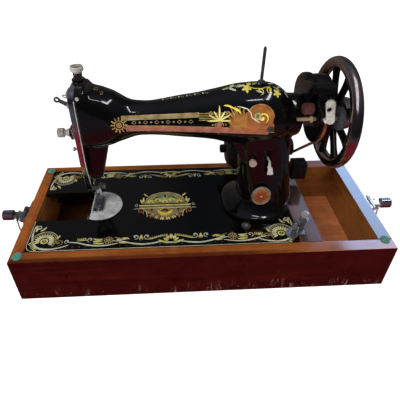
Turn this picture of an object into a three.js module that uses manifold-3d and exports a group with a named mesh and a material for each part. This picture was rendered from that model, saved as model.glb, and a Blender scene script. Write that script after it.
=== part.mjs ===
// A full-size lockstitch sewing machine in its wooden carrying base.
// Millimetres, +X along the arm towards the handwheel, +Y away from the operator, +Z up.
// The origin is the centre of the wooden base's underside.
import * as THREE from "three";
import { mergeVertices } from "three/addons/utils/BufferGeometryUtils.js";
import Module from "manifold-3d";

const wasm = await Module();
wasm.setup();

// ---------------------------------------------------------------- driving dimensions

const GAP = 0.3; // between pieces that touch
const RUN = 0.35; // clearance of a moving piece

const BASE = { length: 513, depth: 209, height: 75 };
const BOARD = 18.5; // back and right boards
const FRONT_BOARD = 17.4;
const LEFT_BOARD = 15.3;
const FLOOR = 8;
const REBATE = { depth: 6.3, height: 27 }; // step in the back board that the bed lies in
const DIVIDER = { left: 131.1, right: 160, web: 11, top: 12 };

const BED = {
  left: -240.5,
  right: 130.5,
  front: -86.6,
  back: 91.4,
  top: 75,
  thickness: 7.5,
  corner: 12,
  skirt: 12, // depth of the rib round its underside
};
const SLIDE_WELL = { right: -164.5, front: -28, back: 34 };
const PLATE = { left: -164.1, centre: -151, radius: 32, thickness: 2 };
const TILT_AXIS = { y: 92.5, z: 75 };
const TILT_HINGES = [-180, 78];

const SHAFT = { y: 2.4, z: 222.4, radius: 7 }; // the arm shaft, along X
const ARM_SIDES = 24;
const HEAD = { left: -152.3, bottom: 188, top: 271 };
const FACE = { left: -163.3, right: -152.4, wall: 2.4 };
const NEEDLE = { x: -153.5, y: -1 };
const PRESSER = { x: -153.5, y: 13 };
const BAR = 3.6; // radius of the needle bar and of the presser bar
const NOSE_BOTTOM = 122;
const TAKE_UP = { y: -11, pivot: [-146, 238], eye: [-177.5, 256] };

const WHEEL = { x: 172.4, ring: 65, tube: 8, spokes: 9, spokePhase: 22 };
const PULLEY = { x: 150, flange: 37.5, groove: 32.4, halfWidth: 6.8 };
const MOTOR = { y: 85, z: 118, radius: 34, left: 44, right: 130 };
const MOTOR_PULLEY = { flange: 14, groove: 9.2 };
const BELT = { radius: 2.2, play: 0.6 };

const HOOK = { y: 2.4, z: 44 };
const WINDER = { pivotY: -24, pivotZ: 268, spindleY: -38, spindleZ: 236.6 };
const LATCH = { y: -4, barX: 265, barZ: 68 };

// ---------------------------------------------------------------- finishes

function finish(color, roughness, metalness) {
  return new THREE.MeshStandardMaterial({ color, roughness, metalness });
}

const japan = finish(0x0b0b0c, 0.12, 0.0);
const chrome = finish(0xd8d8dc, 0.12, 1.0);
const nickel = finish(0xc9c6c0, 0.25, 1.0);
const steel = finish(0x9b9b9b, 0.35, 1.0);
const brass = finish(0xb87333, 0.35, 1.0);
const mahogany = finish(0x5a1f12, 0.35, 0.0);
const ply = finish(0x9a5a2c, 0.5, 0.0);
const rubber = finish(0x55565a, 0.8, 0.0);
const bakelite = finish(0x111113, 0.3, 0.0);
const leather = finish(0xb8672a, 0.6, 0.0);

// ---------------------------------------------------------------- solids

// A manifold-3d solid of a closed three.js geometry, with its faces turned outwards.
function solid(geometry) {
  const bare = geometry.clone();
  bare.deleteAttribute("normal");
  bare.deleteAttribute("uv");
  const merged = mergeVertices(bare, 1e-4);
  const triVerts = new Uint32Array(merged.index.array);
  const vertProperties = new Float32Array(merged.attributes.position.array);
  const make = () => new wasm.Manifold(new wasm.Mesh({ numProp: 3, vertProperties, triVerts }));
  const body = make();
  if (body.volume() >= 0) return body;
  for (let i = 0; i < triVerts.length; i += 3) {
    [triVerts[i + 1], triVerts[i + 2]] = [triVerts[i + 2], triVerts[i + 1]];
  }
  return make();
}

function geometryOf(body) {
  const mesh = body.getMesh();
  const positions = new Float32Array(mesh.numVert * 3);
  for (let i = 0; i < mesh.numVert; i++) {
    positions.set(mesh.vertProperties.subarray(i * mesh.numProp, i * mesh.numProp + 3), i * 3);
  }
  const geometry = new THREE.BufferGeometry();
  geometry.setAttribute("position", new THREE.BufferAttribute(positions, 3));
  geometry.setIndex(new THREE.BufferAttribute(mesh.triVerts, 1));
  geometry.computeVertexNormals();
  return geometry;
}

const machine = new THREE.Group();

function piece(name, body, material) {
  const mesh = new THREE.Mesh(geometryOf(body), material);
  mesh.name = name;
  machine.add(mesh);
}

const joined = (...bodies) => bodies.reduce((all, body) => all.add(body));

function box(x0, x1, y0, y1, z0, z1) {
  const geometry = new THREE.BoxGeometry(x1 - x0, y1 - y0, z1 - z0);
  geometry.translate((x0 + x1) / 2, (y0 + y1) / 2, (z0 + z1) / 2);
  return solid(geometry);
}

// Turns a geometry that runs along +Y so that it runs along the named axis.
function turned(geometry, axis) {
  if (axis === "x") geometry.rotateZ(-Math.PI / 2);
  if (axis === "z") geometry.rotateX(Math.PI / 2);
  return geometry;
}

// A round bar or cone along an axis, from one end to the other, through the point at.
function bar(axis, from, to, at, radius, sides = 20, endRadius = radius) {
  const geometry = turned(new THREE.CylinderGeometry(endRadius, radius, to - from, sides), axis);
  const middle = (from + to) / 2;
  if (axis === "x") geometry.translate(middle, at[0], at[1]);
  if (axis === "y") geometry.translate(at[0], middle, at[1]);
  if (axis === "z") geometry.translate(at[0], at[1], middle);
  return solid(geometry);
}

// A turned shape: profile holds [radius, place along the axis] and starts and ends on the axis.
function turning(axis, profile, at, sides = 24) {
  const points = profile.map(([radius, place]) => new THREE.Vector2(radius, place));
  const geometry = turned(new THREE.LatheGeometry(points, sides), axis);
  if (axis === "x") geometry.translate(0, at[0], at[1]);
  if (axis === "y") geometry.translate(at[0], 0, at[1]);
  if (axis === "z") geometry.translate(at[0], at[1], 0);
  return solid(geometry);
}

// An outline drawn in XY, raised from z0 to z1.
function slab(shape, z0, z1, curveSegments = 6) {
  const geometry = new THREE.ExtrudeGeometry(shape, { depth: z1 - z0, bevelEnabled: false, curveSegments });
  geometry.translate(0, 0, z0);
  return solid(geometry);
}

// An outline drawn in (y, z), carried along X from x0 to x1.
function slabAlongX(shape, x0, x1, curveSegments = 6) {
  const geometry = new THREE.ExtrudeGeometry(shape, { depth: x1 - x0, bevelEnabled: false, curveSegments });
  geometry.applyMatrix4(new THREE.Matrix4().set(0, 0, 1, x0, 1, 0, 0, 0, 0, 1, 0, 0, 0, 0, 0, 1));
  return solid(geometry);
}

// An outline drawn in (x, z), carried along Y from y0 to y1.
function slabAlongY(shape, y0, y1, curveSegments = 6) {
  const geometry = new THREE.ExtrudeGeometry(shape, { depth: y1 - y0, bevelEnabled: false, curveSegments });
  geometry.applyMatrix4(new THREE.Matrix4().set(1, 0, 0, 0, 0, 0, 1, y0, 0, 1, 0, 0, 0, 0, 0, 1));
  return solid(geometry);
}

function polygon(points) {
  return new THREE.Shape(points.map(([u, v]) => new THREE.Vector2(u, v)));
}

function roundedRectangle(x0, x1, y0, y1, radius) {
  const shape = new THREE.Shape();
  shape.moveTo(x0 + radius, y0);
  shape.lineTo(x1 - radius, y0);
  shape.absarc(x1 - radius, y0 + radius, radius, -Math.PI / 2, 0, false);
  shape.lineTo(x1, y1 - radius);
  shape.absarc(x1 - radius, y1 - radius, radius, 0, Math.PI / 2, false);
  shape.lineTo(x0 + radius, y1);
  shape.absarc(x0 + radius, y1 - radius, radius, Math.PI / 2, Math.PI, false);
  shape.lineTo(x0, y0 + radius);
  shape.absarc(x0 + radius, y0 + radius, radius, Math.PI, 1.5 * Math.PI, false);
  return shape;
}

// A knurled or fluted disc outline.
function fluted(radius, depth, flutes) {
  const points = [];
  for (let i = 0; i < flutes * 2; i++) {
    const angle = (Math.PI * i) / flutes;
    const reach = i % 2 ? radius : radius - depth;
    points.push([reach * Math.cos(angle), reach * Math.sin(angle)]);
  }
  return polygon(points);
}

// A round wire along a curve.
function wire(curve, radius, steps, sides = 8) {
  const section = new THREE.Shape();
  section.absarc(0, 0, radius, 0, 2 * Math.PI, false);
  const geometry = new THREE.ExtrudeGeometry(section, {
    steps,
    curveSegments: sides / 2,
    bevelEnabled: false,
    extrudePath: curve,
  });
  return solid(geometry);
}

// Joins a row of rings, each with the same number of points, into one closed body.
function loft(rings) {
  const count = rings[0].length;
  const positions = rings.flat().flatMap((point) => point.toArray());
  const index = [];
  for (let r = 0; r + 1 < rings.length; r++) {
    for (let i = 0; i < count; i++) {
      const a = r * count + i;
      const b = r * count + ((i + 1) % count);
      index.push(a, b, b + count, a, b + count, a + count);
    }
  }
  const caps = [
    [0, true],
    [(rings.length - 1) * count, false],
  ];
  for (const [first, reversed] of caps) {
    for (let i = 1; i + 1 < count; i++) {
      if (reversed) index.push(first, first + i + 1, first + i);
      else index.push(first, first + i, first + i + 1);
    }
  }
  const geometry = new THREE.BufferGeometry();
  geometry.setAttribute("position", new THREE.Float32BufferAttribute(positions, 3));
  geometry.setIndex(index);
  return solid(geometry);
}

// Points of a rounded, box-like ring: power 2 is an ellipse, more is squarer.
function superellipse(halfU, halfV, power, sides, place) {
  const ring = [];
  for (let i = 0; i < sides; i++) {
    const angle = (2 * Math.PI * i) / sides;
    const cos = Math.cos(angle);
    const sin = Math.sin(angle);
    const u = halfU * Math.sign(cos) * Math.abs(cos) ** (2 / power);
    const v = halfV * Math.sign(sin) * Math.abs(sin) ** (2 / power);
    ring.push(place(u, v));
  }
  return ring;
}

// ---------------------------------------------------------------- the wooden base

function woodenBase() {
  const halfLength = BASE.length / 2;
  const halfDepth = BASE.depth / 2;
  const top = BASE.height;
  const frontInner = -halfDepth + FRONT_BOARD;
  const backInner = halfDepth - BOARD;
  const leftInner = -halfLength + LEFT_BOARD;
  const rightInner = halfLength - BOARD;
  const y0 = frontInner + GAP;
  const y1 = backInner - GAP;

  piece("front_board", box(-halfLength, halfLength, -halfDepth, frontInner, 0, top), mahogany);

  let back = box(-halfLength, halfLength, backInner, halfDepth, 0, top);
  const rebateBack = backInner + REBATE.depth;
  back = back.subtract(box(leftInner, DIVIDER.left, backInner - 1, rebateBack, top - REBATE.height, top + 1));
  for (const x of TILT_HINGES) {
    back = back.subtract(box(x - 9.5, x + 9.5, backInner, TILT_AXIS.y + 4, top - 8, top + 1));
  }
  piece("back_board", back, mahogany);

  piece("left_board", box(-halfLength, leftInner, y0, y1, 0, top), mahogany);
  piece("right_board", box(rightInner, halfLength, y0, y1, 0, top), mahogany);
  piece("bottom_board", box(leftInner + GAP, rightInner - GAP, y0, y1, 0, FLOOR), ply);

  const strip = box(DIVIDER.left, DIVIDER.right, y0, y1, top - DIVIDER.top, top);
  const web = box(DIVIDER.right - DIVIDER.web, DIVIDER.right, y0, y1, FLOOR + GAP, top - DIVIDER.top);
  piece("divider_board", joined(strip, web), mahogany);

  const ledgeTop = BED.top - BED.thickness - GAP;
  piece("front_ledge", box(leftInner + GAP, 130, y0, y0 + 10.5, ledgeTop - 14, ledgeTop), ply);
}

// A draw latch on an end board: plate, swinging arm, fluted knob and wire bail.
function latch(side, sign) {
  const wall = (sign * BASE.length) / 2;
  const { y, barX, barZ } = LATCH;
  const x = (distance) => wall + sign * distance;
  const span = (a, b) => [Math.min(x(a), x(b)), Math.max(x(a), x(b))];
  const pivot = barX - BASE.length / 2;

  const plate = box(...span(GAP, 2.2), y - 18, y + 24, barZ - 30, barZ + 5);
  const lugs = [
    [y - 14, y - 8],
    [y + 8, y + 14],
  ].map(([a, b]) =>
    joined(
      bar("y", a, b, [x(pivot), barZ], 3.6, 14),
      box(...span(1, pivot), a, b, barZ - 3.2, barZ + 2.4),
    ),
  );
  const screwHeads = [barZ - 24, barZ - 12].map((z) => {
    const [low, high] = span(1.5, 3.4);
    return bar("x", low, high, [y, z], 3, 12);
  });
  piece("latch_plate_" + side, joined(plate, ...lugs, ...screwHeads), nickel);

  const neckEnd = 24;
  const knuckle = bar("y", y - 8 + RUN, y + 8 - RUN, [x(pivot), barZ], 3.4, 14);
  const neck = box(...span(pivot, neckEnd), y - 5, y + 5, barZ - 2.6, barZ + 1);
  const [studLow, studHigh] = span(neckEnd - 2, neckEnd + 16);
  const stud = bar("x", studLow, studHigh, [y, barZ - 1], 2, 12);
  piece("latch_arm_" + side, joined(knuckle, neck, stud), nickel);

  const [knobLow, knobHigh] = span(neckEnd + RUN, neckEnd + 15);
  const drum = slabAlongX(fluted(7.8, 1, 14), knobLow, knobHigh);
  const hollow = bar("x", knobLow - 1, knobHigh + 1, [0, 0], 2 + RUN, 12);
  const knob = drum.subtract(hollow).translate(0, y, barZ - 1);
  piece("latch_knob_" + side, knob, chrome);

  const eye = neckEnd - 6;
  const drop = 24;
  const turn = new THREE.CatmullRomCurve3([
    new THREE.Vector3(x(eye), y - 7, barZ - 1),
    new THREE.Vector3(x(eye), y - 8, barZ - 8),
    new THREE.Vector3(x(eye), y - 8, barZ - drop),
    new THREE.Vector3(x(eye), y, barZ - drop - 9),
    new THREE.Vector3(x(eye), y + 8, barZ - drop),
    new THREE.Vector3(x(eye), y + 8, barZ - 8),
    new THREE.Vector3(x(eye), y + 7, barZ - 1),
  ]);
  const ends = [
    [y - 8.6, y - 5 - RUN],
    [y + 5 + RUN, y + 8.6],
  ].map(([a, b]) => bar("y", a, b, [x(eye), barZ - 1], 1.5, 8));
  piece("latch_bail_" + side, joined(wire(turn, 1.1, 18, 6), bridge(x(eye), y, barZ), ...ends), steel);
}

// The wire that runs under a latch arm and ties the two ends of its bail.
function bridge(x, y, z) {
  return box(x - 1.2, x + 1.2, y - 8.6, y + 8.6, z - 6.6, z - 4.2);
}

// The two-leaf hinges that the head tilts back on.
function tiltHinge(side, x) {
  const { y, z } = TILT_AXIS;
  const leafTop = BASE.height + GAP + 1.8;
  const fixedBarrel = bar("x", x - 8, x - RUN / 2, [y, z], 2.5, 14);
  const pin = bar("x", x - 4, x + 7, [y, z], 1.1, 10);
  const fixedLeaf = box(x - 8, x + 8, y + 3.2, BASE.depth / 2 - 2, BASE.height + GAP, leafTop);
  const fixedLink = box(x - 8, x - RUN, y + 1, y + 3.6, z - 1, leafTop);
  piece("base_hinge_" + side, joined(fixedBarrel, pin, fixedLeaf, fixedLink), brass);

  const movingBarrel = bar("x", x + RUN / 2, x + 8, [y, z], 2.5, 14);
  const underside = BED.top - BED.thickness - GAP;
  const web = box(x + RUN, x + 8, y - 3.4, y - 1.4, underside - 1.8, z);
  const leaf = box(x - 8, x + 8, y - 20, y - 1.4, underside - 1.8, underside);
  const bore = bar("x", x - 9, x + 7.5, [y, z], 1.1 + RUN, 10);
  piece("bed_hinge_" + side, joined(movingBarrel, web, leaf).subtract(bore), brass);
}

// ---------------------------------------------------------------- the bed and what it carries

function bed() {
  const underside = BED.top - BED.thickness;
  let body = slab(roundedRectangle(BED.left, BED.right, BED.front, BED.back, BED.corner), underside, BED.top);
  const inset = 14.5;
  const rib = 4;
  const hingeRoom = 8; // the skirt stays clear of the tilt hinges
  const skirtBottom = underside - BED.skirt;
  const skirt = (inwards, z0, z1) =>
    box(
      BED.left + inwards,
      BED.right - inwards,
      BED.front + inwards,
      BED.back - inwards - hingeRoom,
      z0,
      z1,
    );
  const outer = skirt(inset, skirtBottom, underside);
  const inner = skirt(inset + rib, skirtBottom - 1, underside + 1);
  body = body.add(outer.subtract(inner));

  const hangers = [-128, -40, 60].map((x) => {
    const drop = box(x - 5, x + 5, HOOK.y - 12, HOOK.y + 12, HOOK.z - 1, underside + 1);
    const eye = bar("x", x - 5, x + 5, [HOOK.y, HOOK.z], 12, 16);
    return joined(drop, eye);
  });
  body = joined(body, ...hangers);
  body = body.subtract(bar("x", -140, 80, [HOOK.y, HOOK.z], 5 + RUN, 16));

  const well = SLIDE_WELL;
  body = body.subtract(box(BED.left - 1, well.right, well.front, well.back, skirtBottom - 1, BED.top + 1));
  body = body.subtract(slab(plateOutline(-GAP), BED.top - PLATE.thickness - GAP, BED.top + 1, 16));
  body = body.subtract(box(-166, -136, -22, 26, skirtBottom - 1, BED.top));
  for (const x of TILT_HINGES) {
    body = body.subtract(box(x - 9, x + 9, TILT_AXIS.y - 4, BED.back + 1, underside - 1, BED.top + 1));
  }
  piece("bed", body, japan);
}

// The needle plate's outline: a straight edge on the left and a half-round end on the right.
function plateOutline(inset) {
  const { left, centre, radius } = PLATE;
  const reach = radius - inset;
  const start = Math.acos((left + inset - centre) / reach);
  const shape = new THREE.Shape();
  shape.absarc(centre, SHAFT.y, reach, -start, start, false);
  return shape;
}

function needlePlate() {
  let body = slab(plateOutline(0), BED.top - PLATE.thickness, BED.top, 16);
  for (const x of [NEEDLE.x - 4.5, NEEDLE.x + 4.5]) {
    body = body.subtract(box(x - 1.7, x + 1.7, -13, 15, BED.top - 5, BED.top + 1));
  }
  body = body.subtract(bar("z", BED.top - 5, BED.top + 1, [NEEDLE.x, NEEDLE.y], 1.5, 12));
  piece("needle_plate", body, steel);
}

function feedDog() {
  const teethTop = BED.top + 0.5;
  const bodyTop = BED.top - PLATE.thickness - 1.2;
  const carrier = box(NEEDLE.x - 7.5, NEEDLE.x + 7.5, -16, -6, bodyTop - 4, bodyTop);
  const rows = [NEEDLE.x - 4.5, NEEDLE.x + 4.5].map((x) => {
    const profile = [[-10.5, bodyTop - 4], [12, bodyTop - 4], [12, teethTop - 1]];
    for (let y = 10; y > -9.5; y -= 2.5) {
      profile.push([y, teethTop], [y - 1.25, teethTop - 1]);
    }
    profile.push([-10.5, teethTop - 1]);
    return slabAlongX(polygon(profile), x - 1.2, x + 1.2);
  });
  piece("feed_dog", joined(carrier, ...rows), steel);
}

// The oscillating hook under the needle plate: race, hook, shaft and bobbin case.
function hookAssembly() {
  const at = [HOOK.y, HOOK.z];
  const ring = bar("x", -165, -150, at, 19, 28).subtract(bar("x", -166, -149, at, 14.6, 28));
  const needleWay = box(-157, -149, -6, 4, HOOK.z, HOOK.z + 22);
  const lug = box(-162, -151, -27, -15, HOOK.z - 6, HOOK.z + 6);
  const foot = joined(lug, box(-162, -151, -27, -22.4, HOOK.z - 6, BED.top - BED.thickness - GAP));
  piece("hook_race", joined(ring.subtract(needleWay), foot), steel);

  const cup = bar("x", -164.6, -157, at, 14, 24).subtract(bar("x", -165, -159, at, 11.6, 24));
  const boss = bar("x", -158, -150.9, at, 5, 16);
  piece("hook", joined(cup, boss), chrome);

  const shaft = joined(bar("x", -150.5, 74, at, 5, 16), bar("x", 70, 78, at, 9, 16));
  piece("hook_shaft", shaft, steel);

  const shell = turning(
    "x",
    [[0, -176], [9, -176], [10.8, -174.5], [10.8, -160], [0, -160]],
    at,
    20,
  );
  const slot = box(-177, -173.5, HOOK.y - 2, HOOK.y + 12, HOOK.z - 1.2, HOOK.z + 1.2);
  piece("bobbin_case", shell.subtract(slot), steel);
}

// ---------------------------------------------------------------- the arm

// Half height of the arm, and the height of its middle, at a row of stations along X.
const ARM_STATIONS = [
  [-112, 34, 224.5, 31],
  [-105, 30.3, 223.5, 29.4],
  [-98, 26.8, 222.5, 26.8],
  [-91, 24.1, 222, 24.4],
  [-83, 22.7, 222.4, 22.7],
  [-68, 22.3, 222.2, 22.3],
  [-50, 24, 223, 24],
  [-30, 26.8, 223.7, 26.6],
  [-8, 29.4, 224.3, 28.8],
  [10, 32.4, 225, 31],
  [25, 35.6, 225.2, 33],
  [40, 38.6, 225.6, 35],
  [58, 40.3, 225.8, 36.5],
  [76, 40.6, 225.8, 37],
  [88, 39.4, 225, 36.6],
  [97, 36, 224, 34.5],
  [104, 31.5, 223, 31],
  [108, 27, 222.6, 27],
];

// [height, middle X, half width in X, half depth in Y, squareness]
const PILLAR_STATIONS = [
  [75.3, 82, 50, 50, 2.5],
  [80.5, 82, 49.5, 49.5, 2.5],
  [83, 83, 46, 45, 2.5],
  [88, 87, 41.5, 40, 2.6],
  [97, 93.5, 39, 35.5, 2.7],
  [112, 92, 38, 33, 2.8],
  [130, 90, 37, 31.5, 2.8],
  [155, 86.5, 35.8, 30.5, 2.8],
  [180, 84, 36.5, 30.5, 2.6],
  [200, 80, 39, 31, 2.5],
  [222, 76, 40, 30, 2.4],
];

// The outline of the face plate in (y, z): straight sides that draw in towards the bottom.
function faceOutline(inset) {
  const front = -22 + inset;
  const back = 28 - inset;
  const top = 268.5 - inset;
  const bottom = 116 + inset;
  const corner = 14 - inset;
  const shoulder = 165;
  const draw = 9;
  const shape = new THREE.Shape();
  shape.moveTo(front + draw + 5, bottom);
  shape.lineTo(back - draw - 5, bottom);
  shape.quadraticCurveTo(back - draw, bottom, back - draw + 1, bottom + 6);
  shape.lineTo(back, shoulder);
  shape.lineTo(back, top - corner);
  shape.absarc(back - corner, top - corner, corner, 0, Math.PI / 2, false);
  shape.lineTo(front + corner, top);
  shape.absarc(front + corner, top - corner, corner, Math.PI / 2, Math.PI, false);
  shape.lineTo(front, shoulder);
  shape.lineTo(front + draw - 1, bottom + 6);
  shape.quadraticCurveTo(front + draw, bottom, front + draw + 5, bottom);
  return shape;
}

function armCasting() {
  const middleY = SHAFT.y;
  const headHalf = (HEAD.top - HEAD.bottom) / 2;
  const headMiddle = (HEAD.top + HEAD.bottom) / 2;
  const headRings = [
    [HEAD.left, headHalf - 1.5, headMiddle, 25.5, 4.5],
    [-150, headHalf, headMiddle, 27, 4.5],
    [-143, headHalf, headMiddle, 27, 4.4],
    [-139, 38.4, 226.4, 27, 4.2],
    [-127, 36.5, 225.5, 27, 3.6],
    [-119, 35, 224.5, 28.6, 2.8],
  ];
  const armRings = ARM_STATIONS.map((station) => [...station, 2]);
  const rings = [...headRings, ...armRings].map(([x, halfHeight, middle, halfDepth, power]) => {
    const place = (u, v) => new THREE.Vector3(x, middleY + u, middle + v);
    return superellipse(halfDepth, halfHeight, power, ARM_SIDES, place);
  });
  const arm = loft(rings);
  const pillarRings = PILLAR_STATIONS.map(([z, x, halfX, halfY, power]) => {
    const place = (u, v) => new THREE.Vector3(x + u, middleY + v, z);
    return superellipse(halfX, halfY, power, ARM_SIDES, place);
  });
  const pillar = loft(pillarRings);
  const bossProfile = [[0, 90], [29, 90], [28, 112], [28, 122], [26, 125], [0, 125]];
  const boss = turning("x", bossProfile, [SHAFT.y, SHAFT.z], 24);
  const noseShape = polygon([
    [-152.4, NOSE_BOTTOM],
    [-143, NOSE_BOTTOM],
    [-139.5, 128],
    [-124, 192],
    [-152.4, 192],
  ]);
  const nose = slabAlongY(noseShape, -11, 21);
  const inner = slabAlongX(faceOutline(FACE.wall + RUN), FACE.left + FACE.wall + RUN, HEAD.left + 1);
  let body = joined(arm, pillar, boss, nose, inner);

  // fillets between the arm and the pillar
  const webShape = new THREE.Shape();
  webShape.moveTo(60, 172);
  webShape.lineTo(60, 205);
  webShape.lineTo(18, 197);
  webShape.quadraticCurveTo(48, 190, 51, 160);
  webShape.lineTo(60, 160);
  body = body.add(slabAlongY(webShape, middleY - 21, middleY + 21, 6));

  body = body.subtract(bar("x", -134, 130, [SHAFT.y, SHAFT.z], 11.5, 20));
  const chamber = joined(box(-170, -143.5, -40, 40, 138, 258), box(-170, -131, -40, 40, 194, 252));
  body = body.subtract(slabAlongX(faceOutline(4.2), FACE.left, -131).intersect(chamber));
  for (const place of [NEEDLE, PRESSER]) {
    body = body.subtract(bar("z", 110, 140, [place.x, place.y], BAR + RUN, 16));
  }
  body = body.subtract(bar("z", 255, 290, [PRESSER.x, PRESSER.y], 4.6 + RUN, 16));
  body = body.subtract(box(81.9, 89.5, -60, 6, 150, 186.5));
  body = body.subtract(bar("z", 250, 275, [71.5, SHAFT.y], 2.6 + RUN, 12));
  piece("arm", body, japan);
}

function facePlate() {
  let body = slabAlongX(faceOutline(0), FACE.left, FACE.right, 5);
  body = body.subtract(slabAlongX(faceOutline(FACE.wall), FACE.left + FACE.wall, FACE.right + 1, 5));
  body = body.subtract(box(FACE.left - 1, FACE.left + 4, TAKE_UP.y - 3, TAKE_UP.y + 3, 214, 259));
  body = body.subtract(box(FACE.left + 3, FACE.right + 1, NEEDLE.y - 7, PRESSER.y + 5, 110, 122));
  body = body.subtract(bar("z", 256, 275, [PRESSER.x, PRESSER.y], 6.4, 16));
  const guide = bar("x", FACE.left - 8, FACE.left + 1, [0, 178.4], 1.6, 10);
  const guideHead = bar("x", FACE.left - 10, FACE.left - 7.5, [0, 178.4], 3, 12);
  piece("face_plate", joined(body, guide, guideHead), chrome);
}

// The bars that run down through the head, and what hangs on them.
function needleBar() {
  const { x, y } = NEEDLE;
  piece("needle_bar", bar("z", 114.5, 252, [x, y], BAR, 16), chrome);

  const barHole = bar("z", 114.2, 122, [x, y], BAR + GAP, 16);
  const collar = bar("z", 111.5, 118.3, [x, y], 5.4, 16).subtract(barHole);
  const screw = bar("x", x + 5, x + 11, [y, 115], 1.5, 10);
  const screwHead = slabAlongX(fluted(4, 0.5, 12), x + 10, x + 15).translate(0, y, 115);
  piece("needle_clamp", joined(collar, screw, screwHead), nickel);

  const needleProfile = [[0, 83], [0.5, 86], [0.55, 98], [1.0, 99.5], [1.0, 111.2], [0, 111.2]];
  piece("needle", turning("z", needleProfile, [x, y], 10), steel);
}

function presserBar() {
  const { x, y } = PRESSER;
  const presser = bar("z", 96, 250, [x, y], BAR, 16);
  const collar = bar("z", 205, 215, [x, y], 5.2, 16);
  piece("presser_bar", joined(presser, collar), chrome);

  const soleBottom = BED.top + 1.1;
  const sole = slab(footOutline(x), soleBottom, soleBottom + 2, 5);
  const slot = box(x - 1.6, x + 1.6, -30, NEEDLE.y + 3, soleBottom - 1, soleBottom + 3);
  const barHole = bar("z", 95.6, 110, [x, y], BAR + 0.4, 16);
  const shank = box(x - 5.4, x + 5.4, 7.6, 18.4, soleBottom + 1, 106).subtract(barHole);
  const clampScrew = slabAlongX(fluted(5, 0.6, 12), x - 13, x - 7).translate(0, 11, 101);
  const clampShank = bar("x", x - 8, x - 5, [11, 101], 2, 10);
  const body = joined(sole.subtract(slot), shank, clampScrew, clampShank);
  piece("presser_foot", body, chrome);
}

// The sole of the presser foot: two toes in front, a square heel behind.
function footOutline(x) {
  return roundedRectangle(x - 7.5, x + 7.5, NEEDLE.y - 13, PRESSER.y + 7, 3);
}

function presserLifter() {
  const at = [-145.5, 152];
  const hub = bar("y", 21.4, 27, at, 5.6, 16);
  const outline = [[-150.5, 151], [-140.5, 151], [-141.3, 128], [-142, 121]];
  outline.push([-145, 118.4], [-148.5, 120], [-149.6, 128]);
  const handle = slabAlongY(polygon(outline), 22.4, 26);
  piece("presser_lifter", joined(hub, handle), chrome);
}

function pressureScrew() {
  const at = [PRESSER.x, PRESSER.y];
  const profile = [[0, 257.6], [3.6, 257.6], [4.4, 259], [4.4, 271.2], [5.8, 271.8], [5.8, 279.4]];
  profile.push([6.8, 281.2], [8.4, 282.2], [8.8, 284], [8.4, 286.8], [6.4, 288.2], [0, 288.6]);
  piece("pressure_screw", turning("z", profile, at, 18), chrome);
}

function takeUpLever() {
  const { y, pivot, eye: eyeAt } = TAKE_UP;
  const direction = new THREE.Vector2(eyeAt[0] - pivot[0], eyeAt[1] - pivot[1]).normalize();
  const side = new THREE.Vector2(-direction.y, direction.x);
  const corner = (at, along, across) => [
    at[0] + direction.x * along + side.x * across,
    at[1] + direction.y * along + side.y * across,
  ];
  const blade = polygon([
    corner(pivot, 0, -4),
    corner(eyeAt, 2, -1.6),
    corner(eyeAt, 2, 1.6),
    corner(pivot, 0, 4),
  ]);
  const hub = bar("y", y - 2.5, y + 2.5, pivot, 5.6, 16);
  const ringEye = bar("y", y - 1.2, y + 1.2, eyeAt, 3.6, 14);
  const hole = bar("y", y - 3, y + 3, eyeAt, 1.8, 12);
  piece("take_up_lever", joined(slabAlongY(blade, y - 1.2, y + 1.2), hub, ringEye).subtract(hole), chrome);
}

function threadTension() {
  const at = [2, 203];
  const left = FACE.left;
  const post = bar("x", left - 27.5, left - GAP, at, 2.1, 12);
  const seat = bar("x", left - 2.4, left - GAP, at, 6.5, 18);
  const discs = [left - 5, left - 8.4].map((x) => {
    const profile = [[0, x - 1.2], [4, x - 1.2], [10, x], [10, x + 0.8], [4, x + 1.2], [0, x + 1.2]];
    return turning("x", profile, at, 18);
  });
  const sleeve = bar("x", left - 10, left - 2, at, 3, 12);
  piece("tension_discs", joined(post, seat, sleeve, ...discs), chrome);

  const nut = slabAlongX(fluted(6.4, 0.6, 18), left - 26, left - 18).translate(0, at[0], at[1]);
  const collar = bar("x", left - 18.2, left - 15, at, 4, 16);
  const thread = bar("x", left - 30, left - 10, at, 2.1 + RUN, 12);
  piece("tension_nut", joined(nut, collar).subtract(thread), nickel);
}

// ---------------------------------------------------------------- shaft, wheel, motor

function armShaft() {
  const at = [SHAFT.y, SHAFT.z];
  const shaft = bar("x", -131.6, 189, at, SHAFT.radius, 16);
  const collar = bar("x", 112, 120, at, 10.8, 16);
  piece("arm_shaft", joined(shaft, collar), steel);
  const crank = bar("x", -141, -132, at, 14, 20);
  const pin = bar("x", -146, -140.5, [SHAFT.y, SHAFT.z + 9], 3.2, 12);
  const weight = slabAlongX(polygon([[-11, -8], [11, -8], [7, -15.5], [-7, -15.5]]), -139.8, -133);
  piece("needle_bar_crank", joined(crank, pin, weight.translate(0, SHAFT.y, SHAFT.z)), steel);
}

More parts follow.
